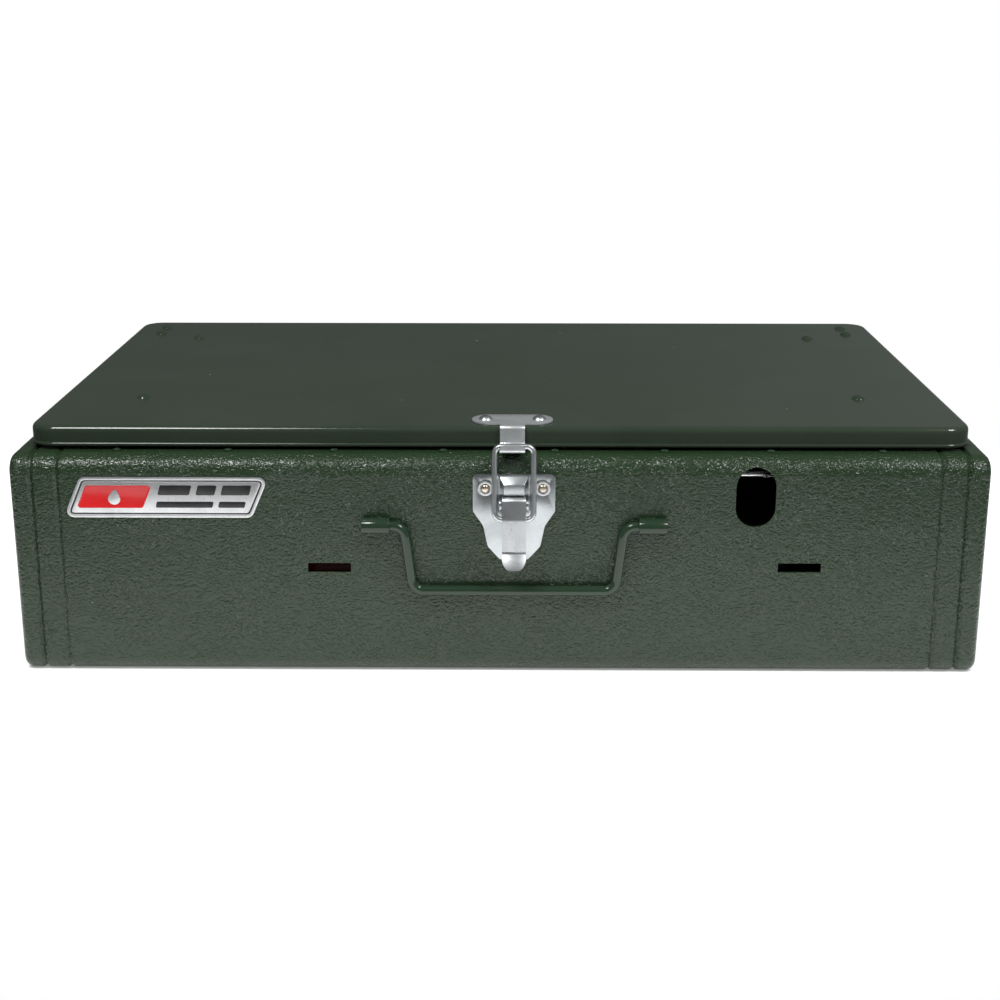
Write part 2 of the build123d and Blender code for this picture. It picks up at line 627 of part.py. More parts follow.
with BuildPart() as baffle_right:
    with BuildSketch(Plane.XY.offset(BAFFLE_Z + BAFFLE_ROLL - BAFFLE_SHEET)):
        with BuildLine():
            FilletPolyline(
                (BAFFLE_X - 0.5, BAFFLE_FRONT), (BAFFLE_X - 0.5, BAFFLE_BACK),
                (BAFFLE_X - NARROW_WIDTH, BAFFLE_BACK),
                (BAFFLE_X - BAFFLE_WIDTH, SLANT_START),
                (BAFFLE_X - BAFFLE_WIDTH, BAFFLE_FRONT),
                radius=[0.2, 6.0, 12.0, 10.0, 0.2], close=True,
            )
        make_face()
    extrude(amount=BAFFLE_SHEET)
    with Locations(Location(
        (BAFFLE_X, (BAFFLE_FRONT + BAFFLE_BACK) / 2, BAFFLE_Z), TO_FRONT
    )):
        Cylinder(BAFFLE_ROLL, BAFFLE_BACK - BAFFLE_FRONT)
        Cylinder(BAFFLE_WIRE + 0.08, BAFFLE_BACK - BAFFLE_FRONT, mode=Mode.SUBTRACT)
    with Locations(*[(BAFFLE_X, y, BAFFLE_Z) for y in CLIP_SPOTS_Y]):
        Box(2 * NOTCH_REACH, 2 * NOTCH_HALF, 4 * BAFFLE_ROLL, mode=Mode.SUBTRACT)
    with BuildSketch(Plane.XY.offset(BAFFLE_Z + BAFFLE_ROLL - BAFFLE_SHEET - 0.6)):
        with Locations((BAFFLE_X - 50, 5)):
            SlotOverall(120, 5, rotation=90)
        with Locations((BAFFLE_X - 68, 0)):
            SlotOverall(120, 5, rotation=90)
    extrude(amount=0.6)

with BuildPart() as baffle_left:
    mirror(baffle_right.part, about=Plane.YZ)

# ------------------------------------------------------------------------- grate
grate_frame = bent_wire(
    [
        (-GRATE_HALF_X, GRATE_FRONT, GRATE_REST_Z + GRATE_FRAME_WIRE / 2),
        (GRATE_HALF_X, GRATE_FRONT, GRATE_REST_Z + GRATE_FRAME_WIRE / 2),
        (GRATE_HALF_X, GRATE_BACK, GRATE_REST_Z + GRATE_FRAME_WIRE / 2),
        (-GRATE_HALF_X, GRATE_BACK, GRATE_REST_Z + GRATE_FRAME_WIRE / 2),
    ],
    12.0, GRATE_FRAME_WIRE, closed=True,
)
GRATE_BAR_Z = GRATE_REST_Z + GRATE_FRAME_WIRE + GRATE_BAR_WIRE / 2 - 0.6
BAR_PITCH = 2 * (GRATE_HALF_X - 14.0) / (GRATE_BARS - 1)

with BuildPart() as grate:
    add(grate_frame)
    with Locations(*[
        Location(((i - (GRATE_BARS - 1) / 2) * BAR_PITCH, (GRATE_FRONT + GRATE_BACK) / 2,
                  GRATE_BAR_Z), TO_FRONT)
        for i in range(GRATE_BARS)
    ]):
        Cylinder(GRATE_BAR_WIRE / 2, GRATE_BACK - GRATE_FRONT + GRATE_BAR_WIRE)

REST_SHEET = 1.2
rest_form = bent_sheet(
    [
        (CASE_WIDTH / 2 - SHEET - REST_SHEET / 2, GRATE_REST_Z - 14),
        (CASE_WIDTH / 2 - SHEET - REST_SHEET / 2, GRATE_REST_Z - REST_SHEET / 2),
        (GRATE_HALF_X - 6, GRATE_REST_Z - REST_SHEET / 2),
    ],
    2.0, REST_SHEET, -(GRATE_BACK - 6), -(GRATE_FRONT + 6), plane=Plane.XZ,
)
with BuildPart() as grate_rests:
    add(rest_form)
    mirror(about=Plane.YZ)

# ------------------------------------------------------------------- burner shelf
with BuildPart() as burner_shelf:
    with BuildSketch(Plane.YZ.offset(-SHELF_HALF)):
        with BuildLine():
            FilletPolyline(
                (SHELF_FRONT + 10, SHEET + SHELF_SHEET / 2),
                (SHELF_FRONT, SHEET + SHELF_SHEET / 2),
                (SHELF_FRONT, SHELF_Z + SHELF_SHEET / 2),
                (SHELF_BACK, SHELF_Z + SHELF_SHEET / 2),
                (SHELF_BACK, SHEET + SHELF_SHEET / 2),
                (SHELF_BACK - 10, SHEET + SHELF_SHEET / 2),
                radius=2.5,
            )
        trace(line_width=SHELF_SHEET)
    extrude(amount=2 * SHELF_HALF)
    with BuildSketch(Plane.XY.offset(SHELF_Z - 1)):
        with Locations((MAIN_BURNER_X, BURNER_Y), (AUX_BURNER_X, BURNER_Y)):
            Circle(BOWL_RADIUS + 0.4)
        with Locations((MAIN_BURNER_X, MIXER_Y)):
            Circle(TUBE_RADIUS + 1.5)
        with Locations(*[(x, 104) for x in (-160, -60, 60, 160)]):
            SlotOverall(50, 10)
    extrude(amount=SHELF_SHEET + 2, mode=Mode.SUBTRACT)

# ------------------------------------------------------------------------ burners
BOWL_WALL = 1.2
SHELF_TOP = SHELF_Z + SHELF_SHEET
BOWL_RIM_Z = SHELF_TOP + 10.0
BOWL_FLOOR_Z = BLOCK_TOP + 4.0
NECK_RADIUS = 9.0
RING_SHEET = 1.0
WAVE_HEIGHT = 2.6
RING_BASE_Z = BOWL_FLOOR_Z + 12.0
RING_INNER = 17.0
RING_OUTER = 30.0
SCREW_RADIUS = 2.5

bowl_form = turned([
    (NECK_RADIUS - 1.5, BLOCK_TOP), (NECK_RADIUS, BLOCK_TOP), (NECK_RADIUS, BOWL_FLOOR_Z),
    (BOWL_RADIUS - 8, BOWL_FLOOR_Z), (BOWL_RADIUS, SHELF_TOP - 3), (BOWL_RADIUS, SHELF_TOP),
    (BOWL_RADIUS + 5, SHELF_TOP), (BOWL_RADIUS + 5, SHELF_TOP + BOWL_WALL),
    (BOWL_RADIUS, SHELF_TOP + BOWL_WALL), (BOWL_RADIUS, BOWL_RIM_Z),
    (BOWL_RADIUS - BOWL_WALL, BOWL_RIM_Z), (BOWL_RADIUS - BOWL_WALL, SHELF_TOP - 2.4),
    (BOWL_RADIUS - 8.6, BOWL_FLOOR_Z + BOWL_WALL), (RING_INNER + 6, BOWL_FLOOR_Z + BOWL_WALL),
    (RING_INNER + 4, RING_BASE_Z), (RING_INNER, RING_BASE_Z),
    (RING_INNER, RING_BASE_Z - 1.2), (RING_INNER + 2.6, RING_BASE_Z - 1.2),
    (RING_INNER + 4.6, BOWL_FLOOR_Z + BOWL_WALL), (NECK_RADIUS - 1.5, BOWL_FLOOR_Z + BOWL_WALL),
])
flat_ring = turned([
    (RING_INNER, 0), (RING_OUTER, 0), (RING_OUTER, RING_SHEET), (RING_INNER, RING_SHEET),
])
with BuildPart() as wave_ring:
    Cylinder(RING_OUTER - 1.0, WAVE_HEIGHT, align=(Align.CENTER, Align.CENTER, Align.MIN))
    Cylinder(
        RING_INNER + 1.0, WAVE_HEIGHT, align=(Align.CENTER, Align.CENTER, Align.MIN),
        mode=Mode.SUBTRACT,
    )
    with PolarLocations(RING_OUTER, 24):
        Box(
            14.0, 2.4, WAVE_HEIGHT - 0.8, align=(Align.CENTER, Align.CENTER, Align.MIN),
            mode=Mode.SUBTRACT,
        )

RING_STACK_TOP = RING_BASE_Z + 3 * RING_SHEET + 2 * WAVE_HEIGHT
cap_form = turned([
    (SCREW_RADIUS + 0.1, RING_STACK_TOP), (RING_OUTER - 3, RING_STACK_TOP),
    (RING_OUTER - 2, RING_STACK_TOP + 1.4), (RING_INNER + 2, RING_STACK_TOP + 2.6),
    (RING_INNER - 5, RING_STACK_TOP + 2.0), (SCREW_RADIUS + 0.1, RING_STACK_TOP + 2.0),
])
screw_form = turned([
    (0, BOWL_FLOOR_Z + 6), (SCREW_RADIUS, BOWL_FLOOR_Z + 6),
    (SCREW_RADIUS, RING_STACK_TOP + 2.0), (5.0, RING_STACK_TOP + 2.0),
    (5.0, RING_STACK_TOP + 3.6), (3.6, RING_STACK_TOP + 4.6), (0, RING_STACK_TOP + 4.6),
])
with BuildPart() as slotted_screw:
    add(screw_form)
    with Locations((0, 0, RING_STACK_TOP + 4.6)):
        Box(12, 1.2, 2.0, mode=Mode.SUBTRACT)


def burner_rings(x):
    """The stack of flat and wavy rings that a burner burns at, for the burner at x."""
    with BuildPart() as rings:
        step = RING_SHEET + WAVE_HEIGHT
        with Locations(*[(x, BURNER_Y, RING_BASE_Z + i * step) for i in range(3)]):
            add(flat_ring)
        with Locations(*[
            (x, BURNER_Y, RING_BASE_Z + RING_SHEET + i * step) for i in range(2)
        ]):
            add(wave_ring.part)
    return rings


def at_burner(form, x):
    """One turned burner piece, moved over to the burner at x."""
    with BuildPart() as piece:
        with Locations((x, BURNER_Y, 0)):
            add(form)
    return piece


main_burner_rings = burner_rings(MAIN_BURNER_X)
aux_burner_rings = burner_rings(AUX_BURNER_X)
main_burner_bowl = at_burner(bowl_form, MAIN_BURNER_X)
aux_burner_bowl = at_burner(bowl_form, AUX_BURNER_X)
main_burner_cap = at_burner(cap_form, MAIN_BURNER_X)
aux_burner_cap = at_burner(cap_form, AUX_BURNER_X)
main_burner_screw = at_burner(slotted_screw.part, MAIN_BURNER_X)
aux_burner_screw = at_burner(slotted_screw.part, AUX_BURNER_X)

# --------------------------------------------------------------- gas pipes and valve
BLOCK_Z = BLOCK_TOP - BLOCK_SIZE[2] / 2
BLOCK_HALF = BLOCK_SIZE[0] / 2

BLOCK_CAVITY = (18.0, 18.0, 10.0)
PORT_LENGTH = 8.0            # long enough to run through one wall of the block
NECK_BORE = NECK_RADIUS - 1.5
PIPE_HOLE = 4.5
MIXER_HOLE = 4.8
GLAND_RADIUS = 6.5
GLAND_LENGTH = 10.0


def hollow_block(x):
    """The hollow casting under the burner at x, open to its bowl and to the pipe between burners."""
    with BuildPart() as block:
        with Locations((x, BURNER_Y, BLOCK_Z)):
            Box(*BLOCK_SIZE)
            Box(*BLOCK_CAVITY, mode=Mode.SUBTRACT)
        with Locations((x, BURNER_Y, BLOCK_TOP)):
            Cylinder(NECK_BORE, PORT_LENGTH, mode=Mode.SUBTRACT)
        inner_side = BLOCK_HALF if x < 0 else -BLOCK_HALF
        with Locations(Location((x + inner_side, BURNER_Y, BLOCK_Z), TO_RIGHT)):
            Cylinder(PIPE_HOLE, PORT_LENGTH, mode=Mode.SUBTRACT)
    return block.part


with BuildPart() as main_burner_block:
    add(hollow_block(MAIN_BURNER_X))
    with Locations(Location((MAIN_BURNER_X, BURNER_Y + BLOCK_HALF, BLOCK_Z), TO_FRONT)):
        Cylinder(MIXER_HOLE, PORT_LENGTH, mode=Mode.SUBTRACT)
    fillet(main_burner_block.edges().filter_by(Axis.Z).group_by(Axis.X)[-1], 3.0)

with BuildPart() as aux_valve_body:
    add(hollow_block(AUX_BURNER_X))
    with Locations(Location(
        (AUX_BURNER_X - BLOCK_HALF - GLAND_LENGTH / 2, BURNER_Y, BLOCK_Z), TO_RIGHT
    )):
        Cylinder(GLAND_RADIUS, GLAND_LENGTH)
        Cylinder(AUX_STEM_RADIUS + 0.08, 24.0, mode=Mode.SUBTRACT)

with BuildPart() as crossover_tube:
    with BuildSketch(Plane.YZ.offset(AUX_BURNER_X + BLOCK_HALF)):
        with Locations((BURNER_Y, BLOCK_Z)):
            Circle(CROSSOVER_RADIUS)
            Circle(CROSSOVER_RADIUS - TUBE_WALL, mode=Mode.SUBTRACT)
    extrude(amount=MAIN_BURNER_X - AUX_BURNER_X - 2 * BLOCK_HALF)

MIXER_TOP = 66.0
MIXER_MOUTH = [                              # radius and height of the flared mouth
    (TUBE_RADIUS - TUBE_WALL, MIXER_TOP - 14), (TUBE_RADIUS, MIXER_TOP - 14),
    (11.0, MIXER_TOP - 4), (11.0, MIXER_TOP), (9.5, MIXER_TOP), (9.5, MIXER_TOP - 3.4),
]
with BuildPart() as mixing_tube:
    with BuildLine() as mixer_route:
        FilletPolyline(
            (MAIN_BURNER_X, BURNER_Y + BLOCK_HALF, BLOCK_Z), (MAIN_BURNER_X, MIXER_Y, BLOCK_Z),
            (MAIN_BURNER_X, MIXER_Y, MIXER_TOP - 12), radius=12.0,
        )
    with BuildSketch(Plane(origin=mixer_route.line @ 0, z_dir=(0, 1, 0))):
        Circle(TUBE_RADIUS)
        Circle(TUBE_RADIUS - TUBE_WALL, mode=Mode.SUBTRACT)
    sweep()
    with BuildSketch(Plane.XZ.offset(-MIXER_Y)):
        with BuildLine():
            Polyline(
                *[(MAIN_BURNER_X + r, z) for r, z in MIXER_MOUTH], close=True,
            )
        make_face()
    revolve(axis=Axis((MAIN_BURNER_X, MIXER_Y, 0), (0, 0, 1)))

AUX_STEM_IN = AUX_BURNER_X - BLOCK_HALF + 1.0
AUX_KNOB_X = -CASE_WIDTH / 2 - 1.6
AUX_KNOB_HEIGHT = 15.0
with BuildPart() as aux_valve_stem:
    with Locations(Location(
        ((AUX_STEM_IN + AUX_KNOB_X - 6) / 2, BURNER_Y, BLOCK_Z), TO_RIGHT
    )):
        Cylinder(AUX_STEM_RADIUS, AUX_STEM_IN - AUX_KNOB_X + 6)

aux_knob_form = knob_form(11.0, AUX_KNOB_HEIGHT, 8, 3.2)
with BuildPart() as aux_valve_knob:
    with Locations(Location((AUX_KNOB_X, BURNER_Y, BLOCK_Z), TO_LEFT)):
        add(aux_knob_form)
    with Locations(Location((AUX_KNOB_X - 3, BURNER_Y, BLOCK_Z), TO_LEFT)):
        Cylinder(AUX_STEM_RADIUS, 6.0, mode=Mode.SUBTRACT)

# -------------------------------------------------------------------- fuel tank
def tank_outline(inset):
    """Half outline of the tank (along, across), moved in by inset."""
    with BuildSketch() as outline:
        with BuildLine():
            end = TANK_HALF + TANK_DOME - inset
            side = TANK_RADIUS - inset
            body = Polyline(
                (-end, 0), (end, 0),
            )
            ThreePointArc(body @ 1, (TANK_HALF + 0.72 * (end - TANK_HALF), 0.62 * side),
                          (TANK_HALF, side))
            Line((TANK_HALF, side), (-TANK_HALF, side))
            ThreePointArc((-TANK_HALF, side),
                          (-TANK_HALF - 0.72 * (end - TANK_HALF), 0.62 * side), body @ 0)
        make_face()
    return outline.sketch


TANK_TOP = TANK_Z + TANK_RADIUS
TANK_AXIS = Axis((TANK_X, TANK_Y, TANK_Z), (1, 0, 0))
FILLER_HOLE = 9.0
VALVE_HOLE = 6.0
PUMP_HOLE = 10.0
TANK_END = TANK_X - TANK_HALF - TANK_DOME

with BuildPart() as fuel_tank:
    with BuildSketch(Plane((TANK_X, TANK_Y, TANK_Z), x_dir=(1, 0, 0), z_dir=(0, -1, 0))):
        add(tank_outline(0))
        add(tank_outline(TANK_SHEET), mode=Mode.SUBTRACT)
    revolve(axis=TANK_AXIS)
    with Locations((FILLER_X, TANK_Y, TANK_TOP)):
        Cylinder(FILLER_HOLE, 10, mode=Mode.SUBTRACT)
    with Locations((VALVE_X, TANK_Y, TANK_TOP)):
        Cylinder(VALVE_HOLE, 10, mode=Mode.SUBTRACT)
    with Locations(Location((TANK_END, TANK_Y, TANK_Z), TO_RIGHT)):
        Cylinder(PUMP_HOLE, 12, mode=Mode.SUBTRACT)

with BuildPart() as filler_neck:
    with Locations((FILLER_X, TANK_Y, TANK_TOP - 2.2)):
        Cylinder(FILLER_HOLE, 8.2, align=(Align.CENTER, Align.CENTER, Align.MIN))
        Cylinder(
            FILLER_HOLE - 1.6, 8.2, align=(Align.CENTER, Align.CENTER, Align.MIN),
            mode=Mode.SUBTRACT,
        )

NECK_TOP = TANK_TOP + 6.0
CAP_TOP = TANK_TOP + 14.5
with BuildPart() as filler_cap:
    with Locations((FILLER_X, TANK_Y, CAP_TOP - 12.5)):
        Cylinder(14.0, 12.5, align=(Align.CENTER, Align.CENTER, Align.MIN))
    fillet(filler_cap.faces().sort_by(Axis.Z)[-1].edges(), 1.2)
    with Locations((FILLER_X, TANK_Y, CAP_TOP - 12.5)):
        Cylinder(
            FILLER_HOLE + 0.3, 6.2, align=(Align.CENTER, Align.CENTER, Align.MIN),
            mode=Mode.SUBTRACT,
        )
        with PolarLocations(14.6, 20):
            Cylinder(
                1.2, 10.6, align=(Align.CENTER, Align.CENTER, Align.MIN), mode=Mode.SUBTRACT,
            )

with BuildPart() as filler_gasket:
    with Locations((FILLER_X, TANK_Y, NECK_TOP + 0.3)):
        Cylinder(FILLER_HOLE, 1.9, align=(Align.CENTER, Align.CENTER, Align.MIN))

HOOK_SHEET = 1.6
HOOK_WIDTH = 14.0
HOOK_Z = TANK_Z + 11.0
HOOK_ROOT_Y = TANK_Y + 33.6
with BuildPart() as tank_hooks:
    for side in (-1, 1):
        near = TANK_X + side * TANK_HOOK_SPAN / 2 - HOOK_WIDTH / 2
        with BuildSketch(Plane.YZ.offset(near)):
            with BuildLine():
                FilletPolyline(
                    (HOOK_ROOT_Y, HOOK_Z), (HOOK_ROOT_Y + 13.5, HOOK_Z),
                    (HOOK_ROOT_Y + 13.5, HOOK_Z + 9.0), radius=2.0,
                )
            trace(line_width=HOOK_SHEET)
        extrude(amount=HOOK_WIDTH)
    with Locations(Location((TANK_X, TANK_Y, TANK_Z), TO_RIGHT)):
        Cylinder(TANK_RADIUS, 2 * (TANK_HALF + TANK_DOME), mode=Mode.SUBTRACT)

# -------------------------------------------------------------------------- pump
PUMP_CAP_LENGTH = 9.0
PUMP_CAP_X = TANK_END
BARREL_RADIUS = 9.6
BARREL_LENGTH = 70.0
with BuildPart() as pump_barrel:
    with Locations(Location((PUMP_CAP_X, TANK_Y, TANK_Z), TO_RIGHT)):
        Cylinder(BARREL_RADIUS, BARREL_LENGTH, align=(Align.CENTER, Align.CENTER, Align.MIN))
        Cylinder(
            BARREL_RADIUS - 1.0, BARREL_LENGTH - 2,
            align=(Align.CENTER, Align.CENTER, Align.MIN), mode=Mode.SUBTRACT,
        )

PLUNGER_RADIUS = 2.5
with BuildPart() as pump_cap:
    with Locations(Location((PUMP_CAP_X, TANK_Y, TANK_Z), TO_LEFT)):
        Cylinder(13.0, PUMP_CAP_LENGTH, align=(Align.CENTER, Align.CENTER, Align.MIN))
        Cylinder(
            PLUNGER_RADIUS + 0.3, 30, mode=Mode.SUBTRACT,
        )
    fillet(pump_cap.faces().sort_by(Axis.X)[0].edges(), 1.0)

PUMP_KNOB_GAP = 1.0
PUMP_KNOB_X = PUMP_CAP_X - PUMP_CAP_LENGTH - PUMP_KNOB_GAP
PUMP_KNOB_HEIGHT = 8.0
CUP_X = PUMP_CAP_X + 56.0
with BuildPart() as pump_plunger:
    with Locations(Location((PUMP_KNOB_X - 4, TANK_Y, TANK_Z), TO_RIGHT)):
        Cylinder(
            PLUNGER_RADIUS, CUP_X - PUMP_KNOB_X + 4,
            align=(Align.CENTER, Align.CENTER, Align.MIN),
        )
    with Locations(Location((CUP_X, TANK_Y, TANK_Z), TO_RIGHT)):
        Cylinder(BARREL_RADIUS - 1.35, 7.0)

pump_knob_form = knob_form(10.0, PUMP_KNOB_HEIGHT, 6, 3.0)
with BuildPart() as pump_knob:
    with Locations(Location((PUMP_KNOB_X, TANK_Y, TANK_Z), TO_LEFT)):
        add(pump_knob_form)
        Cylinder(PLUNGER_RADIUS, 8.0, mode=Mode.SUBTRACT)

# ---------------------------------------------------------- fuel valve and generator
VALVE_TOP = GENERATOR_Z + 6.0
with BuildPart() as fuel_valve_body:
    with Locations((VALVE_X, TANK_Y, TANK_TOP - 3)):
        Cylinder(VALVE_HOLE, 6.0, align=(Align.CENTER, Align.CENTER, Align.MIN))
    with Locations((VALVE_X, TANK_Y, (TANK_TOP + 1 + VALVE_TOP) / 2)):
        Box(14, 14, VALVE_TOP - TANK_TOP - 1)
    with Locations(Location((VALVE_X, TANK_Y - 12, GENERATOR_Z), TO_FRONT)):
        Cylinder(5.5, 10.0)
    with Locations(Location((VALVE_X, TANK_Y - 12, GENERATOR_Z), TO_FRONT)):
        Cylinder(2.3, 16.0, mode=Mode.SUBTRACT)

VALVE_KNOB_Y = TANK_Y - 26.5
VALVE_KNOB_HEIGHT = 11.0
with BuildPart() as fuel_valve_stem:
    with Locations(Location(
        (VALVE_X, (TANK_Y - 6 + VALVE_KNOB_Y - 5) / 2, GENERATOR_Z), TO_FRONT
    )):
        Cylinder(2.22, TANK_Y - 6 - VALVE_KNOB_Y + 5)

valve_knob_form = knob_form(11.0, VALVE_KNOB_HEIGHT, 10, 2.4)
with BuildPart() as fuel_valve_knob:
    with Locations(Location((VALVE_X, VALVE_KNOB_Y, GENERATOR_Z), TO_FRONT)):
        add(valve_knob_form)
        Cylinder(2.22, 10.0, mode=Mode.SUBTRACT)

with BuildPart() as generator:
    with BuildLine() as generator_route:
        FilletPolyline(
            (VALVE_X, TANK_Y + 7, GENERATOR_Z), (VALVE_X, GENERATOR_TIP_Y, GENERATOR_Z),
            (VALVE_X, GENERATOR_TIP_Y, GENERATOR_Z - 20), radius=8.0,
        )
    with BuildSketch(Plane(origin=generator_route.line @ 0, z_dir=(0, 1, 0))):
        Circle(GENERATOR_RADIUS)
    sweep()
    with Locations(Location((VALVE_X, TANK_Y + 11, GENERATOR_Z), TO_BACK)):
        Cylinder(6.0, 8.0)
    with Locations((VALVE_X, GENERATOR_TIP_Y, GENERATOR_Z - 20)):
        Cylinder(1.6, 8.0)


os.makedirs("parts", exist_ok=True)
pieces = {
    "case_shell": case_shell, "end_panel_left": end_panel_left, "end_panel_right": end_panel_right,
    "badge_plate": badge_plate, "handle_clips": handle_clips, "carry_handle": carry_handle,
    "latch_base": latch_base, "latch_pivot_pin": latch_pivot_pin, "latch_rivets": latch_rivets,
    "latch_lever": latch_lever, "latch_bail": latch_bail,
    "lid_shell": lid_shell, "strike_plate": strike_plate, "strike_rivets": strike_rivets,
    "baffle_rivets": baffle_rivets, "baffle_clips": baffle_clips, "baffle_stops": baffle_stops,
    "baffle_wires": baffle_wires, "baffle_left": baffle_left, "baffle_right": baffle_right,
    "case_hinge_leaves": case_hinge_leaves, "hinge_pins": hinge_pins,
    "lid_hinge_leaves": lid_hinge_leaves, "case_leaf_rivets": case_leaf_rivets,
    "lid_leaf_rivets": lid_leaf_rivets,
    "grate": grate, "grate_rests": grate_rests, "burner_shelf": burner_shelf,
    "main_burner_bowl": main_burner_bowl, "main_burner_rings": main_burner_rings,
    "main_burner_cap": main_burner_cap, "main_burner_screw": main_burner_screw,
    "main_burner_block": main_burner_block, "mixing_tube": mixing_tube,
    "crossover_tube": crossover_tube,
    "aux_burner_bowl": aux_burner_bowl, "aux_burner_rings": aux_burner_rings,
    "aux_burner_cap": aux_burner_cap, "aux_burner_screw": aux_burner_screw,
    "aux_valve_body": aux_valve_body, "aux_valve_stem": aux_valve_stem,
    "aux_valve_knob": aux_valve_knob,
    "fuel_tank": fuel_tank, "tank_hooks": tank_hooks, "filler_neck": filler_neck,
    "filler_cap": filler_cap, "filler_gasket": filler_gasket,
    "pump_barrel": pump_barrel, "pump_cap": pump_cap, "pump_plunger": pump_plunger,
    "pump_knob": pump_knob,
    "fuel_valve_body": fuel_valve_body, "fuel_valve_stem": fuel_valve_stem,
    "fuel_valve_knob": fuel_valve_knob, "generator": generator,
}
for name, piece in pieces.items():
    piece.part.label = name
    export_step(piece.part, f"parts/{name}.step")
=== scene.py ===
"""Looks of a two-burner suitcase stove: enamelled case and lid, zinc-plated latch, burners inside."""
import json
import math
import bpy
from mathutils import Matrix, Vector

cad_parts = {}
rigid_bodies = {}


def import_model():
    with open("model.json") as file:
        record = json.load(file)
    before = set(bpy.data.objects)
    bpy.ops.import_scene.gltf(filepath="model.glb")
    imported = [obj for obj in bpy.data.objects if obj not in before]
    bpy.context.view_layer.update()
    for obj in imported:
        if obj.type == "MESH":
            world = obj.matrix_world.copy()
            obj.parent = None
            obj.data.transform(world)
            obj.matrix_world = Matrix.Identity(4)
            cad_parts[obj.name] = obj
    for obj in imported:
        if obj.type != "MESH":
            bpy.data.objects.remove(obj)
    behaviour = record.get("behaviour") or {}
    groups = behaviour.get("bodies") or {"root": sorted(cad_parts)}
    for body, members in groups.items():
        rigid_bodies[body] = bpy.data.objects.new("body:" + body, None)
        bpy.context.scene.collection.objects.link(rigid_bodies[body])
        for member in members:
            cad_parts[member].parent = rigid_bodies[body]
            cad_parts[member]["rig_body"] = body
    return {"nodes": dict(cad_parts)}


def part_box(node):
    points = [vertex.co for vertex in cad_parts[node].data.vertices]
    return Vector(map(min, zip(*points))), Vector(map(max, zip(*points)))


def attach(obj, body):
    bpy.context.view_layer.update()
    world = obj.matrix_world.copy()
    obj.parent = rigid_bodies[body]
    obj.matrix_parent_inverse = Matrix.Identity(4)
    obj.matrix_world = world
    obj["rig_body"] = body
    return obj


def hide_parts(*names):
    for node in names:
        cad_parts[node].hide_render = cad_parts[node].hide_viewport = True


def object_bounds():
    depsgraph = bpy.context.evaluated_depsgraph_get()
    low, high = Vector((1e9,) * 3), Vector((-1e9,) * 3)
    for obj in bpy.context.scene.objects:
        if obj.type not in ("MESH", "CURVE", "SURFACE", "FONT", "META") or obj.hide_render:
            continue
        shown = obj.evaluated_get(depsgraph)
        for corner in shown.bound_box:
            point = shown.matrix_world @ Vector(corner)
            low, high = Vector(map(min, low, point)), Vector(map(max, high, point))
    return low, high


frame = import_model()
cad_low, cad_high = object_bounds()
nodes = frame["nodes"]


# ---------------------------------------------------------------- node helpers
def add(tree, kind, inputs=None, **settings):
    """One shader node with its settings, its constants and its links."""
    node = tree.nodes.new("ShaderNode" + kind)
    for setting, value in settings.items():
        setattr(node, setting, value)
    for socket, value in (inputs or {}).items():
        if isinstance(value, bpy.types.NodeSocket):
            tree.links.new(value, node.inputs[socket])
        else:
            node.inputs[socket].default_value = value
    return node


def sums(tree, operation, first, second=0.0, third=0.0):
    node = add(tree, "Math", operation=operation)
    for socket, value in zip(node.inputs, (first, second, third)):
        if isinstance(value, bpy.types.NodeSocket):
            tree.links.new(value, socket)
        else:
            socket.default_value = value
    return node.outputs[0]


def between(tree, value, low, high, from_value=0.0, to_value=1.0):
    """A value read from low..high and given back as from_value..to_value, without a hard step."""
    node = add(tree, "MapRange", {"Value": value, "From Min": low, "From Max": high,
                                  "To Min": from_value, "To Max": to_value}, interpolation_type="SMOOTHSTEP")
    return node.outputs["Result"]


def mix_colour(tree, share, first, second):
    node = add(tree, "Mix", data_type="RGBA")
    for socket, value in ((node.inputs[0], share), (node.inputs[6], first), (node.inputs[7], second)):
        if isinstance(value, bpy.types.NodeSocket):
            tree.links.new(value, socket)
        else:
            socket.default_value = value
    return node.outputs[2]


def start_group(name, takes, gives):
    """An empty effect: its numbers by name, and what it gives back by name."""
    group = bpy.data.node_groups.new(name, "ShaderNodeTree")
    for label, value in takes.items():
        socket = group.interface.new_socket(label, in_out="INPUT", socket_type="NodeSocketFloat")
        socket.default_value = value
    for label in gives:
        group.interface.new_socket(label, in_out="OUTPUT", socket_type="NodeSocketFloat")
    start = group.nodes.new("NodeGroupInput")
    end = group.nodes.new("NodeGroupOutput")
    return group, start.outputs, end.inputs


def on_object(tree, stretch):
    """Object coordinates, scaled by a different number along each axis."""
    place = add(tree, "TexCoord")
    return add(tree, "Mapping", {"Vector": place.outputs["Object"], "Scale": stretch}).outputs["Vector"]


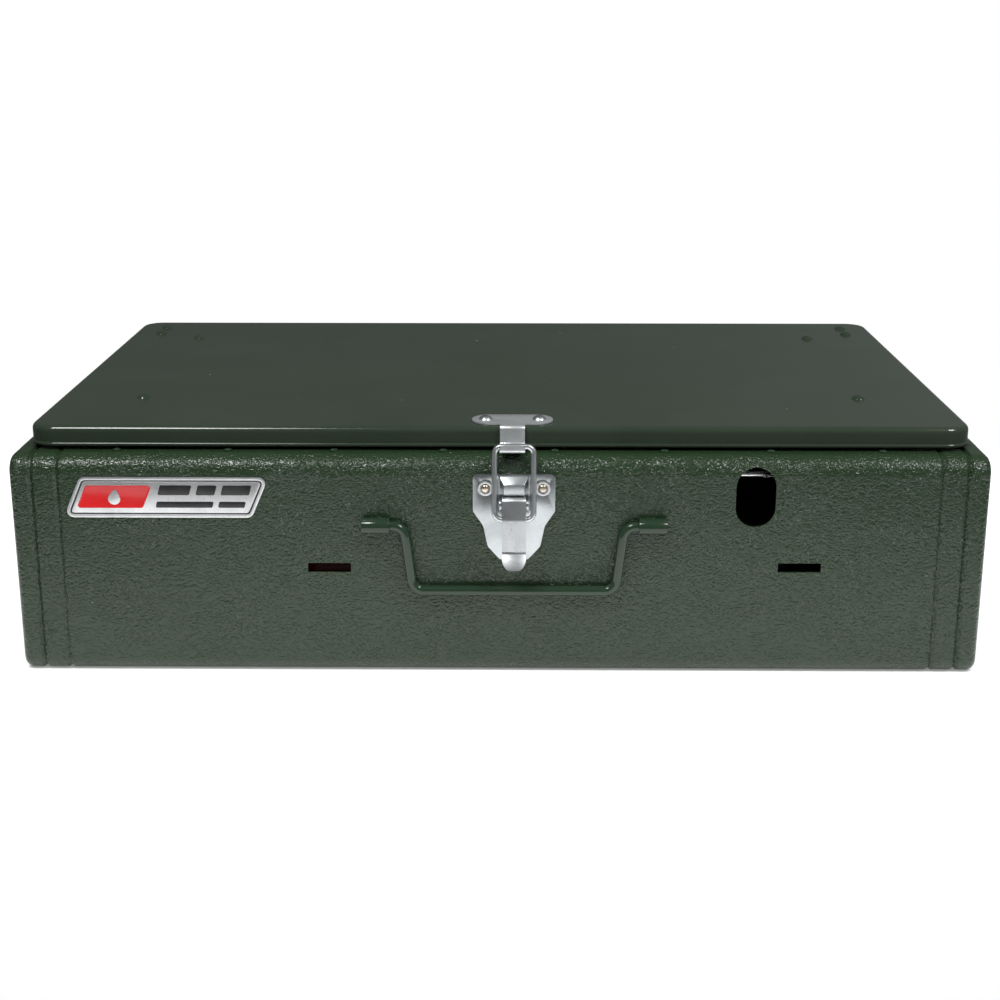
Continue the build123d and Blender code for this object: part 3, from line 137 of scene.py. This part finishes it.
# ---------------------------------------------------------------- effects
def wrinkle_effect():
    """Hammered stove enamel: short level wavelets that run into each other."""
    group, takes, gives = start_group("hammered_wrinkle", {"Wavelets per metre": 610.0, "Unevenness": 0.6},
                                      ["Height", "Crest"])
    place = on_object(group, (0.72, 0.72, 1.0))
    bend = add(group, "TexNoise", {"Vector": place, "Scale": 90.0, "Detail": 2.0})
    pushed = add(group, "VectorMath", {0: bend.outputs["Color"], 1: (0.004, 0.004, 0.004)},
                 operation="MULTIPLY")
    bent = add(group, "VectorMath", {0: place, 1: pushed.outputs[0]}, operation="ADD").outputs[0]
    waves = add(group, "TexNoise", {"Vector": bent, "Scale": takes["Wavelets per metre"], "Detail": 1.5,
                                    "Roughness": 0.45, "Distortion": 0.4})
    ridge = sums(group, "ABSOLUTE", sums(group, "MULTIPLY_ADD", waves.outputs["Fac"], 2.0, -1.0))
    crest = between(group, ridge, 0.0, 0.4, 1.0, 0.0)
    swell = add(group, "TexNoise", {"Vector": place, "Scale": 38.0, "Detail": 1.0})
    strength = between(group, swell.outputs["Fac"], 0.3, 0.7, 0.55, 1.0)
    height = sums(group, "MULTIPLY", crest, strength)
    fine = add(group, "TexNoise", {"Vector": bent, "Scale": 900.0, "Detail": 1.0})
    unevenness = sums(group, "MULTIPLY", takes["Unevenness"], 0.25)
    height = sums(group, "MULTIPLY_ADD", fine.outputs["Fac"], unevenness, height)
    group.links.new(height, gives["Height"])
    group.links.new(crest, gives["Crest"])
    return group


def orange_peel_effect():
    """The faint dimples of sprayed and baked enamel."""
    group, takes, gives = start_group("orange_peel", {"Dimples per metre": 420.0}, ["Height"])
    place = on_object(group, (1.0, 1.0, 1.0))
    broad = add(group, "TexNoise", {"Vector": place, "Scale": takes["Dimples per metre"], "Detail": 1.0})
    fine = add(group, "TexNoise", {"Vector": place, "Scale": 1500.0, "Detail": 0.0})
    dimples = sums(group, "MULTIPLY_ADD", fine.outputs["Fac"], 0.25, broad.outputs["Fac"])
    group.links.new(dimples, gives["Height"])
    return group


def speck_effect():
    """Scattered specks of dust, grit or chipped paint, each a different size."""
    group, takes, gives = start_group("specks", {"Specks per metre": 160.0, "Size": 0.16, "Share": 0.12},
                                      ["Mask"])
    place = on_object(group, (1.0, 1.0, 1.0))
    cells = add(group, "TexVoronoi", {"Vector": place, "Scale": takes["Specks per metre"]})
    split = add(group, "SeparateColor", {"Color": cells.outputs["Color"]})
    chosen = sums(group, "LESS_THAN", split.outputs["Red"], takes["Share"])
    ragged = add(group, "TexNoise", {"Vector": place, "Scale": 1800.0, "Detail": 2.0})
    reach = sums(group, "MULTIPLY", sums(group, "MULTIPLY", takes["Size"], split.outputs["Green"]),
                 sums(group, "MULTIPLY_ADD", ragged.outputs["Fac"], 1.2, 0.4))
    inside = sums(group, "LESS_THAN", cells.outputs["Distance"], reach)
    group.links.new(sums(group, "MULTIPLY", chosen, inside), gives["Mask"])
    return group


def handling_effect():
    """Broad cloudy marks left by hands and wiping."""
    group, takes, gives = start_group("handling_film", {"Patches per metre": 14.0}, ["Film", "Streak"])
    place = on_object(group, (1.0, 1.0, 1.0))
    cloud = add(group, "TexNoise", {"Vector": place, "Scale": takes["Patches per metre"], "Detail": 4.0,
                                    "Roughness": 0.62, "Distortion": 0.5})
    group.links.new(between(group, cloud.outputs["Fac"], 0.35, 0.68), gives["Film"])
    along = on_object(group, (9.0, 60.0, 220.0))
    wiped = add(group, "TexNoise", {"Vector": along, "Scale": 1.0, "Detail": 3.0})
    group.links.new(between(group, wiped.outputs["Fac"], 0.42, 0.72), gives["Streak"])
    return group


def grain_effect():
    """Drawn or brushed lines: fine along one direction and long along the others."""
    group, takes, gives = start_group("brushed_grain", {"Lines across X": 40.0, "Lines across Y": 40.0,
                                                        "Lines across Z": 900.0}, ["Grain"])
    place = add(group, "TexCoord")
    stretch = add(group, "CombineXYZ", {"X": takes["Lines across X"], "Y": takes["Lines across Y"],
                                        "Z": takes["Lines across Z"]})
    drawn = add(group, "VectorMath", {0: place.outputs["Object"], 1: stretch.outputs[0]},
                operation="MULTIPLY").outputs[0]
    lines = add(group, "TexNoise", {"Vector": drawn, "Scale": 1.0, "Detail": 4.0, "Roughness": 0.7})
    group.links.new(lines.outputs["Fac"], gives["Grain"])
    return group


def bloom_effect():
    """Cloudy patches of plating or heat, with small dull spots inside them."""
    group, takes, gives = start_group("plating_bloom", {"Patches per metre": 70.0}, ["Bloom", "Spots"])
    place = on_object(group, (1.0, 1.0, 1.0))
    cloud = add(group, "TexNoise", {"Vector": place, "Scale": takes["Patches per metre"], "Detail": 5.0,
                                    "Roughness": 0.6, "Distortion": 0.8})
    group.links.new(between(group, cloud.outputs["Fac"], 0.35, 0.7), gives["Bloom"])
    spots = add(group, "TexNoise", {"Vector": place, "Scale": 900.0, "Detail": 2.0})
    group.links.new(between(group, spots.outputs["Fac"], 0.6, 0.72), gives["Spots"])
    return group


WRINKLE = wrinkle_effect()
ORANGE_PEEL = orange_peel_effect()
SPECKS = speck_effect()
HANDLING = handling_effect()
GRAIN = grain_effect()
BLOOM = bloom_effect()


def effect(tree, group, **numbers):
    node = tree.nodes.new("ShaderNodeGroup")
    node.node_tree = group
    for label, value in numbers.items():
        node.inputs[label.replace("_", " ")].default_value = value
    return node.outputs


def start_material(name, metallic=0.0, **constants):
    material = bpy.data.materials.new(name)
    material.use_nodes = True
    tree = material.node_tree
    tree.nodes.clear()
    output = tree.nodes.new("ShaderNodeOutputMaterial")
    surface = tree.nodes.new("ShaderNodeBsdfPrincipled")
    tree.links.new(surface.outputs["BSDF"], output.inputs["Surface"])
    surface.inputs["Metallic"].default_value = metallic
    for socket, value in constants.items():
        surface.inputs[socket.replace("_", " ")].default_value = value
    return material, tree, surface


def bump(tree, height, depth, strength=1.0, under=None):
    """Height in 0..1 turned into a normal, depth in metres."""
    inputs = {"Height": height, "Distance": depth, "Strength": strength}
    if under is not None:
        inputs["Normal"] = under
    return add(tree, "Bump", inputs).outputs["Normal"]


# ---------------------------------------------------------------- finishes
def enamel(name, deep, pale, gloss, wrinkle_depth, peel_depth, chips):
    """Baked stove enamel over steel: body colour, cloudy film, wrinkle and peel with painted shade between the
    wrinkle crests, tiny chips and dust.
    """
    material, tree, surface = start_material(name, IOR=1.5)
    film = effect(tree, HANDLING)
    colour = mix_colour(tree, film["Film"], deep, pale)
    normal = bump(tree, effect(tree, ORANGE_PEEL)["Height"], peel_depth)
    rough = sums(tree, "MULTIPLY_ADD", film["Streak"], 0.05, gloss)
    if wrinkle_depth:
        wrinkle = effect(tree, WRINKLE)
        normal = bump(tree, wrinkle["Height"], wrinkle_depth, under=normal)
        # Painted shade: away from the wrinkle crests the green is mixed up to a fifth of the way towards a
        # darker green, so the low ground looks shaded.
        dark = tuple(part * 0.72 for part in deep[:3]) + (1.0,)
        colour = mix_colour(tree, sums(tree, "MULTIPLY", sums(tree, "SUBTRACT", 1.0, wrinkle["Crest"]), 0.2),
                            colour, dark)
    chip = effect(tree, SPECKS, Specks_per_metre=120.0, Size=0.14, Share=chips)["Mask"]
    colour = mix_colour(tree, chip, colour, (0.16, 0.15, 0.13, 1.0))
    dust = effect(tree, SPECKS, Specks_per_metre=260.0, Size=0.12, Share=0.012)["Mask"]
    colour = mix_colour(tree, sums(tree, "MULTIPLY", dust, 0.6), colour, (0.42, 0.42, 0.39, 1.0))
    rough = sums(tree, "ADD", rough, sums(tree, "MULTIPLY", sums(tree, "MAXIMUM", chip, dust), 0.35))
    tree.links.new(colour, surface.inputs["Base Color"])
    tree.links.new(rough, surface.inputs["Roughness"])
    tree.links.new(normal, surface.inputs["Normal"])
    return material


def plating(name, light, dull, gloss, grain, tarnish=(0.34, 0.31, 0.25, 1.0), metallic=1.0):
    """Bright metal with its grain, cloudy patches, dull spots and a little tarnish."""
    material, tree, surface = start_material(name, metallic=metallic)
    bloom = effect(tree, BLOOM)
    lines = effect(tree, GRAIN, Lines_across_X=grain[0], Lines_across_Y=grain[1],
                   Lines_across_Z=grain[2])["Grain"]
    colour = mix_colour(tree, bloom["Bloom"], light, dull)
    colour = mix_colour(tree, sums(tree, "MULTIPLY", bloom["Spots"], 0.35), colour, tarnish)
    rough = sums(tree, "MULTIPLY_ADD", bloom["Bloom"], 0.08, gloss)
    rough = sums(tree, "MULTIPLY_ADD", lines, 0.1, rough)
    tree.links.new(colour, surface.inputs["Base Color"])
    tree.links.new(rough, surface.inputs["Roughness"])
    tree.links.new(bump(tree, lines, 0.00002, 0.5), surface.inputs["Normal"])
    return material


def rough_surface(name, deep, pale, gloss, grains, depth, metallic=0.0, **constants):
    """Cast, moulded or soft surfaces: an even grain with cloudy colour."""
    material, tree, surface = start_material(name, metallic=metallic, **constants)
    bloom = effect(tree, BLOOM, Patches_per_metre=120.0)
    peel = effect(tree, ORANGE_PEEL, Dimples_per_metre=grains)["Height"]
    colour = mix_colour(tree, bloom["Bloom"], deep, pale)
    tree.links.new(colour, surface.inputs["Base Color"])
    tree.links.new(sums(tree, "MULTIPLY_ADD", bloom["Spots"], 0.12, gloss), surface.inputs["Roughness"])
    tree.links.new(bump(tree, peel, depth), surface.inputs["Normal"])
    return material


case_green = enamel("case_green_hammered", (0.0145, 0.0305, 0.0125, 1.0), (0.0165, 0.033, 0.015, 1.0),
                    0.20, 0.00030, 0.00003, 0.008)
lid_green = enamel("lid_green_smooth", (0.021, 0.032, 0.020, 1.0), (0.024, 0.035, 0.023, 1.0),
                   0.12, 0.0, 0.00002, 0.006)
handle_green = enamel("handle_green_gloss", (0.014, 0.031, 0.016, 1.0), (0.017, 0.034, 0.018, 1.0),
                      0.14, 0.0, 0.00003, 0.01)
tank_red = enamel("tank_red", (0.40, 0.03, 0.02, 1.0), (0.46, 0.04, 0.03, 1.0), 0.14, 0.0, 0.00003, 0.02)
zinc = plating("zinc_plating", (0.66, 0.68, 0.69, 1.0), (0.57, 0.59, 0.60, 1.0), 0.27, (60.0, 60.0, 420.0))
# Painted shade: a darker copy of the zinc plating, given to the latch base plate so that its flat face reads
# darker.
zinc_painted_darker = plating("zinc_plating_painted_darker", (0.50, 0.53, 0.54, 1.0), (0.42, 0.45, 0.46, 1.0), 0.24,
                    (60.0, 60.0, 420.0))
zinc_top = plating("zinc_plating_clear", (0.66, 0.68, 0.69, 1.0), (0.57, 0.59, 0.60, 1.0), 0.24,
                   (60.0, 60.0, 420.0), metallic=0.78)
chrome = plating("chrome_wire_plating", (0.78, 0.79, 0.80, 1.0), (0.70, 0.70, 0.71, 1.0), 0.10,
                 (90.0, 90.0, 90.0))
steel = plating("turned_steel", (0.62, 0.62, 0.62, 1.0), (0.50, 0.50, 0.49, 1.0), 0.24, (300.0, 60.0, 60.0))
burner = plating("burner_steel_heated", (0.50, 0.49, 0.47, 1.0), (0.34, 0.32, 0.30, 1.0), 0.36,
                 (120.0, 120.0, 300.0), (0.22, 0.15, 0.10, 1.0), 0.72)
brass = plating("turned_brass", (0.74, 0.55, 0.27, 1.0), (0.58, 0.41, 0.19, 1.0), 0.24, (500.0, 60.0, 60.0),
                (0.26, 0.17, 0.08, 1.0))
iron = rough_surface("cast_iron_grey", (0.11, 0.11, 0.115, 1.0), (0.17, 0.165, 0.16, 1.0), 0.55,
                     700.0, 0.00015, 0.85)
knob_black = rough_surface("knob_plastic", (0.016, 0.016, 0.017, 1.0), (0.026, 0.026, 0.027, 1.0), 0.34,
                           900.0, 0.00003, IOR=1.52)
rubber = rough_surface("gasket_rubber", (0.014, 0.014, 0.014, 1.0), (0.03, 0.03, 0.03, 1.0), 0.62,
                       1100.0, 0.00005)

badge_silver = plating("badge_aluminium", (0.74, 0.75, 0.76, 1.0), (0.66, 0.67, 0.68, 1.0), 0.34,
                       (30.0, 30.0, 700.0))
badge_red = enamel("badge_red_ink", (0.52, 0.012, 0.016, 1.0), (0.58, 0.02, 0.02, 1.0),
                   0.24, 0.0, 0.00001, 0.0)
badge_ink = rough_surface("badge_dark_ink", (0.012, 0.012, 0.012, 1.0), (0.022, 0.022, 0.022, 1.0), 0.35,
                          900.0, 0.00001)
rivet_brown = plating("rivet_pin_brown", (0.66, 0.58, 0.48, 1.0), (0.54, 0.46, 0.38, 1.0), 0.24,
                      (200.0, 200.0, 200.0))

FINISH_OF_SLOT = {"green_enamel": case_green, "lid_enamel": lid_green, "badge": zinc, "zinc_plate": zinc,
                  "chrome_wire": chrome, "burner_steel": burner, "cast_iron": iron, "bright_steel": steel,
                  "black_plastic": knob_black, "tank_enamel": tank_red, "brass": brass, "black_rubber": rubber}
SMOOTH_GREEN_NODES = ["carry_handle", "handle_clips"]
for name, node in nodes.items():
    for slot in node.material_slots:
        slot.material = FINISH_OF_SLOT[slot.material.name]
for name in SMOOTH_GREEN_NODES:
    nodes[name].material_slots[0].material = handle_green


# ---------------------------------------------------------------- shop tools
MM = 0.001


def begin(kind, **settings):
    """A primitive on its own, with nothing else selected."""
    bpy.ops.object.select_all(action="DESELECT")
    getattr(bpy.ops.mesh, "primitive_" + kind + "_add")(**settings)
    return bpy.context.object


def pick(piece, wanted):
    """Edit mode, with only those faces selected whose centre and normal are wanted."""
    bpy.ops.object.mode_set(mode="EDIT")
    bpy.ops.mesh.select_mode(type="FACE")
    bpy.ops.mesh.select_all(action="DESELECT")
    bpy.ops.object.mode_set(mode="OBJECT")
    for face in piece.data.polygons:
        face.select = bool(wanted(face.center, face.normal))
    bpy.ops.object.mode_set(mode="EDIT")


def edit_all(piece):
    """Edit mode, with every face selected."""
    pick(piece, lambda centre, normal: True)


def insets(*steps):
    """One inset after another on the selected faces: how far in and how far out, in millimetres."""
    for inward, outward in steps:
        bpy.ops.mesh.inset(thickness=inward * MM, depth=outward * MM)
    bpy.ops.object.mode_set(mode="OBJECT")


def paint(piece, slot_number, wanted):
    """The faces that are wanted take that finish of the piece."""
    for face in piece.data.polygons:
        if wanted(face.center, face.normal):
            face.material_index = slot_number


def alone(piece):
    bpy.ops.object.select_all(action="DESELECT")
    piece.select_set(True)
    bpy.context.view_layer.objects.active = piece


def apply_modifier(piece, kind, **settings):
    modifier = piece.modifiers.new(kind.lower(), kind)
    for setting, value in settings.items():
        setattr(modifier, setting, value)
    alone(piece)
    bpy.ops.object.modifier_apply(modifier=modifier.name)


def join(pieces):
    bpy.ops.object.select_all(action="DESELECT")
    for piece in pieces:
        piece.select_set(True)
    bpy.context.view_layer.objects.active = pieces[0]
    bpy.ops.object.join()
    return pieces[0]


def copy_to(piece, shifts):
    """One copy of a finished form at each shift, each with its own mesh, joined to the first."""
    copies = [piece]
    for shift in shifts:
        twin = piece.copy()
        twin.data = piece.data.copy()
        bpy.context.scene.collection.objects.link(twin)
        for vertex in twin.data.vertices:
            vertex.co += Vector(shift)
        copies.append(twin)
    return join(copies)


def put_away(piece, name, body, angle=35.0):
    """Place applied, doubles merged, normals out, shading set, riding on its body."""
    alone(piece)
    bpy.ops.object.transform_apply(location=True, rotation=True, scale=True)
    bpy.ops.object.mode_set(mode="EDIT")
    bpy.ops.mesh.select_all(action="SELECT")
    bpy.ops.mesh.remove_doubles(threshold=0.000003)
    bpy.ops.mesh.normals_make_consistent(inside=False)
    bpy.ops.object.mode_set(mode="OBJECT")
    bpy.ops.object.shade_smooth_by_angle(angle=math.radians(angle))
    piece.name = name
    piece.data.name = name
    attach(piece, body)
    return piece


def broken_edges(node, name, finish, edge):
    """The same sheet or casting, its sharp edges broken as stamping and plating leave them."""
    source = nodes[node]
    bpy.ops.object.select_all(action="DESELECT")
    piece = bpy.data.objects.new(name, source.data.copy())
    bpy.context.scene.collection.objects.link(piece)
    alone(piece)
    bpy.ops.mesh.customdata_custom_splitnormals_clear()
    bpy.ops.object.mode_set(mode="EDIT")
    bpy.ops.mesh.select_all(action="SELECT")
    bpy.ops.mesh.remove_doubles(threshold=0.000002)
    bpy.ops.mesh.dissolve_limited(angle_limit=math.radians(0.4))
    bpy.ops.object.mode_set(mode="OBJECT")
    apply_modifier(piece, "BEVEL", width=edge, segments=2, limit_method="ANGLE", angle_limit=math.radians(38),
                   use_clamp_overlap=True)
    piece.data.materials.clear()
    piece.data.materials.append(finish)
    bpy.ops.object.shade_smooth_by_angle(angle=math.radians(32))
    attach(piece, source["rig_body"])
    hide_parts(node)
    return piece


# ---------------------------------------------------------------- badge
def slanted_face(low_left, low_right, rise, lean, radius, front):
    """A flat face with round corners that looks to the front; lean moves its top edge to the right."""
    plate = begin("plane", size=1.0)
    corners = [(low_left[0], low_left[1]), (low_right, low_left[1]),
               (low_left[0] + lean, low_left[1] + rise), (low_right + lean, low_left[1] + rise)]
    for vertex, (x, z) in zip(plate.data.vertices, corners):
        vertex.co = (x * MM, front * MM, z * MM)
    sharp = math.atan2(rise, lean) / 2
    blunt = math.pi / 2 - sharp
    for pair, half_angle in (((corners[0], corners[3]), sharp), ((corners[1], corners[2]), blunt)):
        bpy.ops.object.mode_set(mode="EDIT")
        bpy.ops.mesh.select_mode(type="VERT")
        bpy.ops.mesh.select_all(action="DESELECT")
        bpy.ops.object.mode_set(mode="OBJECT")
        for vertex in plate.data.vertices:
            vertex.select = any(math.hypot(vertex.co.x - x * MM, vertex.co.z - z * MM) < 0.01 * MM
                                for x, z in pair)
        bpy.ops.object.mode_set(mode="EDIT")
        bpy.ops.mesh.bevel(offset=radius * MM / math.tan(half_angle), segments=7, affect="VERTICES")
        bpy.ops.object.mode_set(mode="OBJECT")
    return plate


def thicken(plate, thickness, edge):
    """The face made a plate, with its edges broken."""
    apply_modifier(plate, "SOLIDIFY", thickness=thickness * MM, offset=-1.0)
    apply_modifier(plate, "BEVEL", width=edge * MM, segments=2, limit_method="ANGLE",
                   angle_limit=math.radians(50))


BADGE_FRONT = -148.6         # y of the plate's face, in millimetres
LINE_DEPTH = 0.1             # how far the dark line is sunk
BLOCK_FRONT = BADGE_FRONT - 0.12
FLAME_FRONT = BADGE_FRONT - 0.2
BAR_FRONT = BADGE_FRONT - 0.06
FLAME_RADIUS = 2.9
BAR_LEAN = 0.3               # of the bar's height
BADGE_BARS = ((-161.4, 89.6, 15.0, 4.8), (-143.4, 89.6, 9.0, 4.8), (-131.6, 89.6, 13.6, 4.8),
              (-162.6, 83.4, 27.0, 3.0), (-133.0, 83.4, 12.6, 3.0))      # left, low, length, height


def make_badge():
    """Stamped badge: a bright rim, a dark sunk line, a red block with a flame and plain dark bars."""
    plate = slanted_face((-206.5, 78.5), -117.1, 19.9, 8.7, 3.6, BADGE_FRONT)
    edit_all(plate)
    insets((1.5, 0.0), (0.06, -LINE_DEPTH), (0.75, 0.0), (0.06, LINE_DEPTH))
    thicken(plate, 0.5, 0.03)
    for finish in (badge_silver, badge_ink):
        plate.data.materials.append(finish)
    sunk = (BADGE_FRONT + 0.02) * MM
    paint(plate, 1, lambda centre, normal: normal.y < -0.9 and sunk < centre.y < sunk + 0.2 * MM
          and 79.5 * MM < centre.z < 97.5 * MM)
    put_away(plate, "badge_face", "case")
    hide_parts("badge_plate")

    block = slanted_face((-200.0, 83.2), -168.6, 11.0, 4.8, 1.4, BLOCK_FRONT)
    edit_all(block)
    insets((0.5, 0.0), (0.08, -0.05))
    thicken(block, 0.16, 0.04)
    block.data.materials.append(badge_red)
    put_away(block, "badge_block", "case")

    flame = begin("circle", vertices=28, radius=FLAME_RADIUS * MM, fill_type="NGON",
                  rotation=(math.pi / 2, 0, 0))
    for vertex in flame.data.vertices:
        lift = max(0.0, vertex.co.y / (FLAME_RADIUS * MM))
        vertex.co.x = vertex.co.x * (1.0 - 0.45 * lift * lift) + 0.7 * MM * lift ** 3
        vertex.co.y += 1.7 * MM * lift ** 2 - 0.8 * MM
    edit_all(flame)
    insets((0.16, 0.04))
    flame.location = (-181.9 * MM, FLAME_FRONT * MM, 88.6 * MM)
    apply_modifier(flame, "SOLIDIFY", thickness=0.1 * MM, offset=-1.0)
    flame.data.materials.append(badge_silver)
    put_away(flame, "badge_flame", "case")

    bars = []
    for left, low, length, tall in BADGE_BARS:
        bar = slanted_face((left, low), left + length, tall, tall * BAR_LEAN, 0.7, BAR_FRONT)
        thicken(bar, 0.1, 0.02)
        bars.append(bar)
    bar = join(bars)
    bar.data.materials.clear()
    bar.data.materials.append(badge_ink)
    put_away(bar, "badge_bars", "case")


# ---------------------------------------------------------------- latch rivets, lid rests
RIVET_STEPS = ((1.25, 0.0), (0.12, -0.55), (0.12, 0.0), (0.12, 0.7), (0.3, 0.42), (0.45, 0.3), (0.45, 0.12))


def make_latch_rivets():
    """Two tubular rivets: a rolled eyelet round a warm brown domed pin."""
    low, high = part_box("latch_rivets")
    radius = (high.z - low.z) / 2
    rivet = begin("cylinder", vertices=48, radius=radius, depth=2.0 * MM, rotation=(math.pi / 2, 0, 0),
                  location=(low.x + radius, -149.4 * MM, (low.z + high.z) / 2))
    bpy.ops.object.transform_apply(location=True, rotation=True, scale=True)
    rim = -150.39 * MM
    pick(rivet, lambda centre, normal: normal.y < -0.9)
    insets(*RIVET_STEPS)
    apply_modifier(rivet, "BEVEL", width=0.4 * MM, segments=4, limit_method="ANGLE",
                   angle_limit=math.radians(60))
    for finish in (zinc, rivet_brown):
        rivet.data.materials.append(finish)
    middle = Vector((low.x + radius, 0, (low.z + high.z) / 2))
    paint(rivet, 1, lambda centre, normal: centre.y < rim + 0.6 * MM
          and math.hypot(centre.x - middle.x, centre.z - middle.z) < radius - 1.5 * MM)
    rivet = copy_to(rivet, [(high.x - low.x - 2 * radius, 0, 0)])
    put_away(rivet, "latch_eyelets", "case", 50)
    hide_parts("latch_rivets")


PIP_PLACES = (-182.0, -129.0, -78.5, -26.5, 26.5, 78.5, 129.0, 182.0)      # x along the front shoulder


def make_lid_rests():
    """Eight pressed pips along the front shoulder that keep the lid's rim off the enamel."""
    pip = begin("cylinder", vertices=20, radius=1.9 * MM, depth=1.0 * MM,
                location=(PIP_PLACES[0] * MM, -136.9 * MM, 108.4 * MM))
    bpy.ops.object.transform_apply(location=True, rotation=True, scale=True)
    pick(pip, lambda centre, normal: normal.z > 0.9)
    insets((0.35, 0.25), (0.45, 0.18), (0.5, 0.06))
    pip.data.materials.append(handle_green)
    pips = copy_to(pip, [((x - PIP_PLACES[0]) * MM, 0, 0) for x in PIP_PLACES[1:]])
    put_away(pips, "lid_rest_pips", "case", 50)


make_badge()
make_latch_rivets()
make_lid_rests()
for node, name, finish, edge in (
        ("latch_base", "latch_base_plate", zinc_painted_darker, 0.22),
        ("latch_lever", "latch_lever_strap", zinc, 0.20),
        ("strike_plate", "lid_strike", zinc_top, 0.26),
        ("handle_clips", "handle_sleeves", handle_green, 0.25),
        ("case_hinge_leaves", "hinge_case_leaves", zinc, 0.12),
        ("lid_hinge_leaves", "hinge_lid_leaves", zinc, 0.12)):
    broken_edges(node, name, finish, edge * MM)


# ---------------------------------------------------------------- floor, lights, camera
SOFTBOX_SIDE = 0.42
SOFTBOX_WATTS = 12.0
SOFTBOX_AIM = (0.0, -0.1, 0.1)
FLOOR_RADIUS = 0.45


def softbox(name, place):
    """A square lamp that points at the middle of the stove's front half."""
    light = bpy.data.lights.new(name, "AREA")
    light.shape = "SQUARE"
    light.size = SOFTBOX_SIDE
    light.energy = SOFTBOX_WATTS
    lamp = bpy.data.objects.new(name, light)
    bpy.context.scene.collection.objects.link(lamp)
    lamp.location = place
    lamp.rotation_euler = (Vector(SOFTBOX_AIM) - Vector(place)).to_track_quat("-Z", "Y").to_euler()


def lay_floor(level):
    """A pale disc that glows a little, so that the front of the case picks up light from below."""
    bpy.ops.object.select_all(action="DESELECT")
    bpy.ops.mesh.primitive_circle_add(vertices=96, radius=FLOOR_RADIUS, fill_type="NGON", location=(0, 0, 0))
    floor = bpy.context.object
    floor.name = "studio_floor"
    for vertex in floor.data.vertices:
        vertex.co.z = level
    material, tree, surface = start_material("pale_floor", Roughness=0.9, Emission_Color=(1.0, 1.0, 1.0, 1.0),
                                             Emission_Strength=0.22)
    cloud = add(tree, "TexNoise", {"Vector": on_object(tree, (1.0, 1.0, 1.0)), "Scale": 3.0, "Detail": 2.0})
    colour = mix_colour(tree, cloud.outputs["Fac"], (0.86, 0.86, 0.86, 1.0), (0.89, 0.89, 0.89, 1.0))
    tree.links.new(colour, surface.inputs["Base Color"])
    floor.data.materials.append(material)


lay_floor(cad_low.z)
softbox("left_softbox", (-0.52, -0.78, 1.45))
softbox("right_softbox", (0.90, -0.78, 1.35))
sky = bpy.data.lights.new("overhead_sky", "SUN")
sky.energy = 2.6
sky.angle = math.radians(80)
sky_lamp = bpy.data.objects.new("overhead_sky", sky)
bpy.context.scene.collection.objects.link(sky_lamp)
sky_lamp.rotation_euler = (math.radians(12), 0.0, 0.0)
sky_lamp.visible_glossy = False

world = bpy.data.worlds.new("pale_studio")
bpy.context.scene.world = world
world.use_nodes = True
tree = world.node_tree
tree.nodes.clear()
seen = add(tree, "LightPath")
backdrop = add(tree, "Background", {"Color": (1.0, 1.0, 1.0, 1.0), "Strength": 1.0})
way = add(tree, "TexCoord").outputs["Generated"]
across = add(tree, "SeparateXYZ", {"Vector": way}).outputs["X"]
fill = add(tree, "Background", {"Color": (0.95, 0.98, 1.0, 1.0),
                                "Strength": between(tree, across, -0.05, 0.45, 0.09, 0.19)})
either = tree.nodes.new("ShaderNodeMixShader")
tree.links.new(seen.outputs["Is Camera Ray"], either.inputs[0])
tree.links.new(fill.outputs[0], either.inputs[1])
tree.links.new(backdrop.outputs[0], either.inputs[2])
output = tree.nodes.new("ShaderNodeOutputWorld")
tree.links.new(either.outputs[0], output.inputs["Surface"])

lens = bpy.data.cameras.new("camera")
lens.lens = 60.2
lens.sensor_width = 36.0
camera = bpy.data.objects.new("camera", lens)
bpy.context.scene.collection.objects.link(camera)
camera.location = (0.00806, -0.9047, 0.3133)
camera.rotation_euler = (math.pi / 2 - 0.29, 0.0, 0.0099)
bpy.context.scene.camera = camera
bpy.context.scene.view_settings.view_transform = "Standard"
